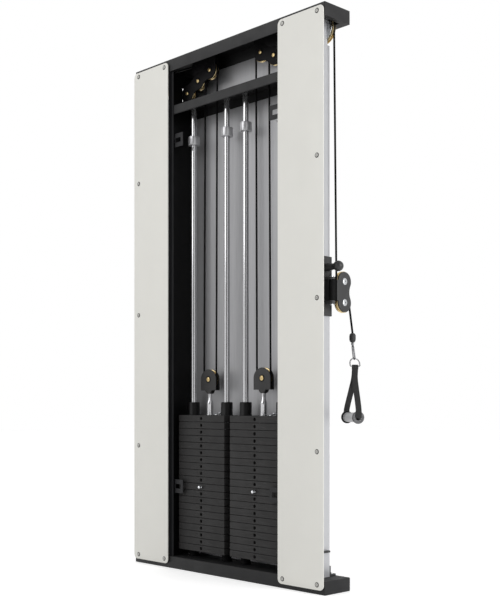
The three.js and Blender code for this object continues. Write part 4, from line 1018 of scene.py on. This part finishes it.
hook_path = [(u, 0, v) for u, v in (
    [(0, -49.5)] + arc(0, -56, 7.4, 110, 190, 8) + [(-8, -70), (-8.2, -84)] + arc(0, -92, 8.3, 180, 360, 16)
    + [(8.2, -86), (7.8, -72)] + arc(0, -56, 7.4, -10, 70, 8))]
hook = tube(hook_path, 2.7, 12, closed=True)
gate = tube([(5.4, 0, -60), (7.9, 0, -72), (8.3, 0, -86)], 3, 12)
swivel = revolve([(0, -36.4), (4.2, -36.6), (5.6, -39), (5.7, -43), (4.6, -46.5), (3.4, -48), (3.4, -50.5),
                  (0, -51)], (0, 0, 0), "Z", 28)
RING_BAR = -129
ring_foot = rounded(-20, 20, RING_BAR + 2.75, RING_BAR + 15, 3, 4)
ring_outline = ring_foot[:10] + arc(0, RING_BAR + 12.5, 20, 0, 180, 28) + ring_foot[-5:]
ring_path = [(0, v, w) for v, w in ring_outline]
pair("hook_wire", hang(sway(together(hook, gate, swivel))), hook_steel, "handle", ["snap_hook"])
d_ring = tube(ring_path, 2.4, 12, closed=True)
pair("d_ring", hang(sway(d_ring)), hook_steel, "handle", ["snap_hook"])

GRIP_Z = -323
LEG_X = 62.8
leg = [(LEG_X, GRIP_Z), (LEG_X, -303), (61, -292), (54.5, -276), (44.5, -256), (32, -232), (19, -206),
       (8, -184), (3, -168), (1.75, -160), (1.8, -142), (3.4, -136)]
other_leg = [(-u, v) for u, v in reversed(leg)]
strap = leg + arc(0, RING_BAR + 2.75, 4.4, -25, 205, 14) + other_leg
strap += [(-LEG_X + 1.5, GRIP_Z - 1), (-30, GRIP_Z - 1), (30, GRIP_Z - 1), (LEG_X - 1.5, GRIP_Z - 1)]
webbing_loop = ribbon(strap, 12, 1.4, closed=True)
pair("strap", hang(sway(webbing_loop)), webbing, "handle", ["handle_strap"])
stitches = []
for w in (-8.5, 8.5):
    for i in range(5):
        z = -146 - i * 5
        for sign in (1, -1):
            path = [(3.2 * sign, w, z), (3.6 * sign, w, z - 1.6), (3.2 * sign, w, z - 3.2)]
            stitches.append(tube(path, 0.45, 6))
pair("strap_stitches", hang(sway(together(*stitches))), rubber, "handle")

# The tube is drawn wider than the solid's
grip_tube = revolve([(13, -60), (15.4, -60), (18.6, -53), (18.6, 53), (15.4, 60), (13, 60), (13, -60)],
                    (0, 0, GRIP_Z), "X", 48)
pair("grip_tube", hang(grip_tube), grip_silver, "grip", ["grip"])
caps = []
for sign in (-1, 1):
    caps.append(revolve([(12.9, sign * 54), (23.2, sign * 54), (24, sign * 55), (24, sign * 59.4),
                         (22.6, sign * 61), (15, sign * 61), (13.4, sign * 60.2), (12.9, sign * 54)],
                        (0, 0, GRIP_Z), "X", 48))
pair("grip_caps", hang(together(*caps)), cap_grey, "grip", ["grip"])
seal = [(18, 54.2), (23.4, 54.2), (23, 53.2), (18, 53.2), (18, 54.2)]
seals = [revolve([(r, sign * h) for r, h in seal], (0, 0, GRIP_Z), "X", 48) for sign in (-1, 1)]
pair("grip_seals", hang(together(*seals)), deep_black, "grip")


# Floor, background and light
def stage_floor(half, glow, share):
    """A white floor that shows a share of its own glow, so that it meets the background without an edge."""
    mesh = bpy.data.meshes.new("floor")
    corners = [(-half, -half, 0), (half, -half, 0), (half, half, 0), (-half, half, 0)]
    mesh.from_pydata(corners, [], [(0, 1, 2, 3)])
    floor = bpy.data.objects.new("floor", mesh)
    floor.location.z = -0.0004
    bpy.context.scene.collection.objects.link(floor)
    look = Look("floor")
    look.shader.inputs["Base Color"].default_value = (0.8, 0.8, 0.8, 1)
    look.shader.inputs["Roughness"].default_value = 0.7
    light = look.node("Emission", {"Color": (1, 1, 1, 1), "Strength": glow})
    path = look.node("LightPath")
    mix = look.node("MixShader")
    seen = look.math("MAXIMUM", path.outputs["Is Camera Ray"], path.outputs["Is Glossy Ray"])
    look.link(look.math("MULTIPLY", seen, share), mix.inputs["Fac"])
    look.link(look.shader.outputs["BSDF"], mix.inputs[1])
    look.link(light.outputs["Emission"], mix.inputs[2])
    out = look.tree.nodes["Material Output"]
    look.link(mix.outputs["Shader"], out.inputs["Surface"])
    mesh.materials.append(look.material)
    floor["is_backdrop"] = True


def world_light(level, screen_way, screen_edge):
    """Even light, white to look at, with a dark, soft-edged screen in the chrome's reflections."""
    world = bpy.data.worlds.new("studio")
    world.use_nodes = True
    bpy.context.scene.world = world
    tree = world.node_tree
    back = tree.nodes["Background"]

    def step(kind, values, *sources, **settings):
        made = tree.nodes.new("ShaderNode" + kind)
        for name, value in settings.items():
            setattr(made, name, value)
        for name, value in values.items():
            made.inputs[name].default_value = value
        for source, place in zip(sources, made.inputs):
            tree.links.new(source, place)
        return made

    path = step("LightPath", {})
    glossy_ray = path.outputs["Is Glossy Ray"]
    direct = step("Math", {}, path.outputs["Is Camera Ray"], path.outputs["Is Transmission Ray"],
                  operation="ADD")
    seen = step("Math", {}, direct.outputs["Value"], glossy_ray, operation="ADD", use_clamp=True)
    way = step("TexCoord", {}).outputs["Generated"]
    flat = step("VectorMath", {1: (1, 1, 0)}, way, operation="MULTIPLY")
    level_way = step("VectorMath", {}, flat.outputs["Vector"], operation="NORMALIZE")
    toward = step("VectorMath", {1: screen_way}, level_way.outputs["Vector"], operation="DOT_PRODUCT")
    soft, full = screen_edge
    screen = step("MapRange", {"From Min": soft, "From Max": full, "To Min": 1.0, "To Max": 0.05},
                  toward.outputs["Value"])
    glossy = step("MapRange", {"To Min": 1.0}, glossy_ray)
    tree.links.new(screen.outputs["Result"], glossy.inputs["To Max"])
    mix = step("MapRange", {"To Min": level, "To Max": 1.0}, seen.outputs["Value"])
    dim = step("Math", {}, mix.outputs["Result"], glossy.outputs["Result"], operation="MULTIPLY")
    tree.links.new(dim.outputs["Value"], back.inputs["Strength"])
    back.inputs["Color"].default_value = (1, 1, 1, 1)


def lamp(name, at, target, size, power):
    data = bpy.data.lights.new(name, "AREA")
    data.shape = "RECTANGLE"
    data.size, data.size_y = size
    data.energy = power
    light = bpy.data.objects.new(name, data)
    light.location = at
    light.rotation_euler = (Vector(target) - Vector(at)).to_track_quat("-Z", "Y").to_euler()
    bpy.context.scene.collection.objects.link(light)


stage_floor(half=20, glow=5.6, share=0.092)
world_light(level=0.62, screen_way=(0.5, -0.866, 0), screen_edge=(0.93, 0.965))
lamp("key", (-1.2, -4.6, 3.6), (0.1, 0, 1.1), (3.8, 3.4), 84)
lamp("side", (4.2, 0.4, 1.8), (0.4, 0, 1.1), (1.2, 3.0), 78)

bpy.context.scene.view_settings.view_transform = "Standard"
low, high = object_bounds()
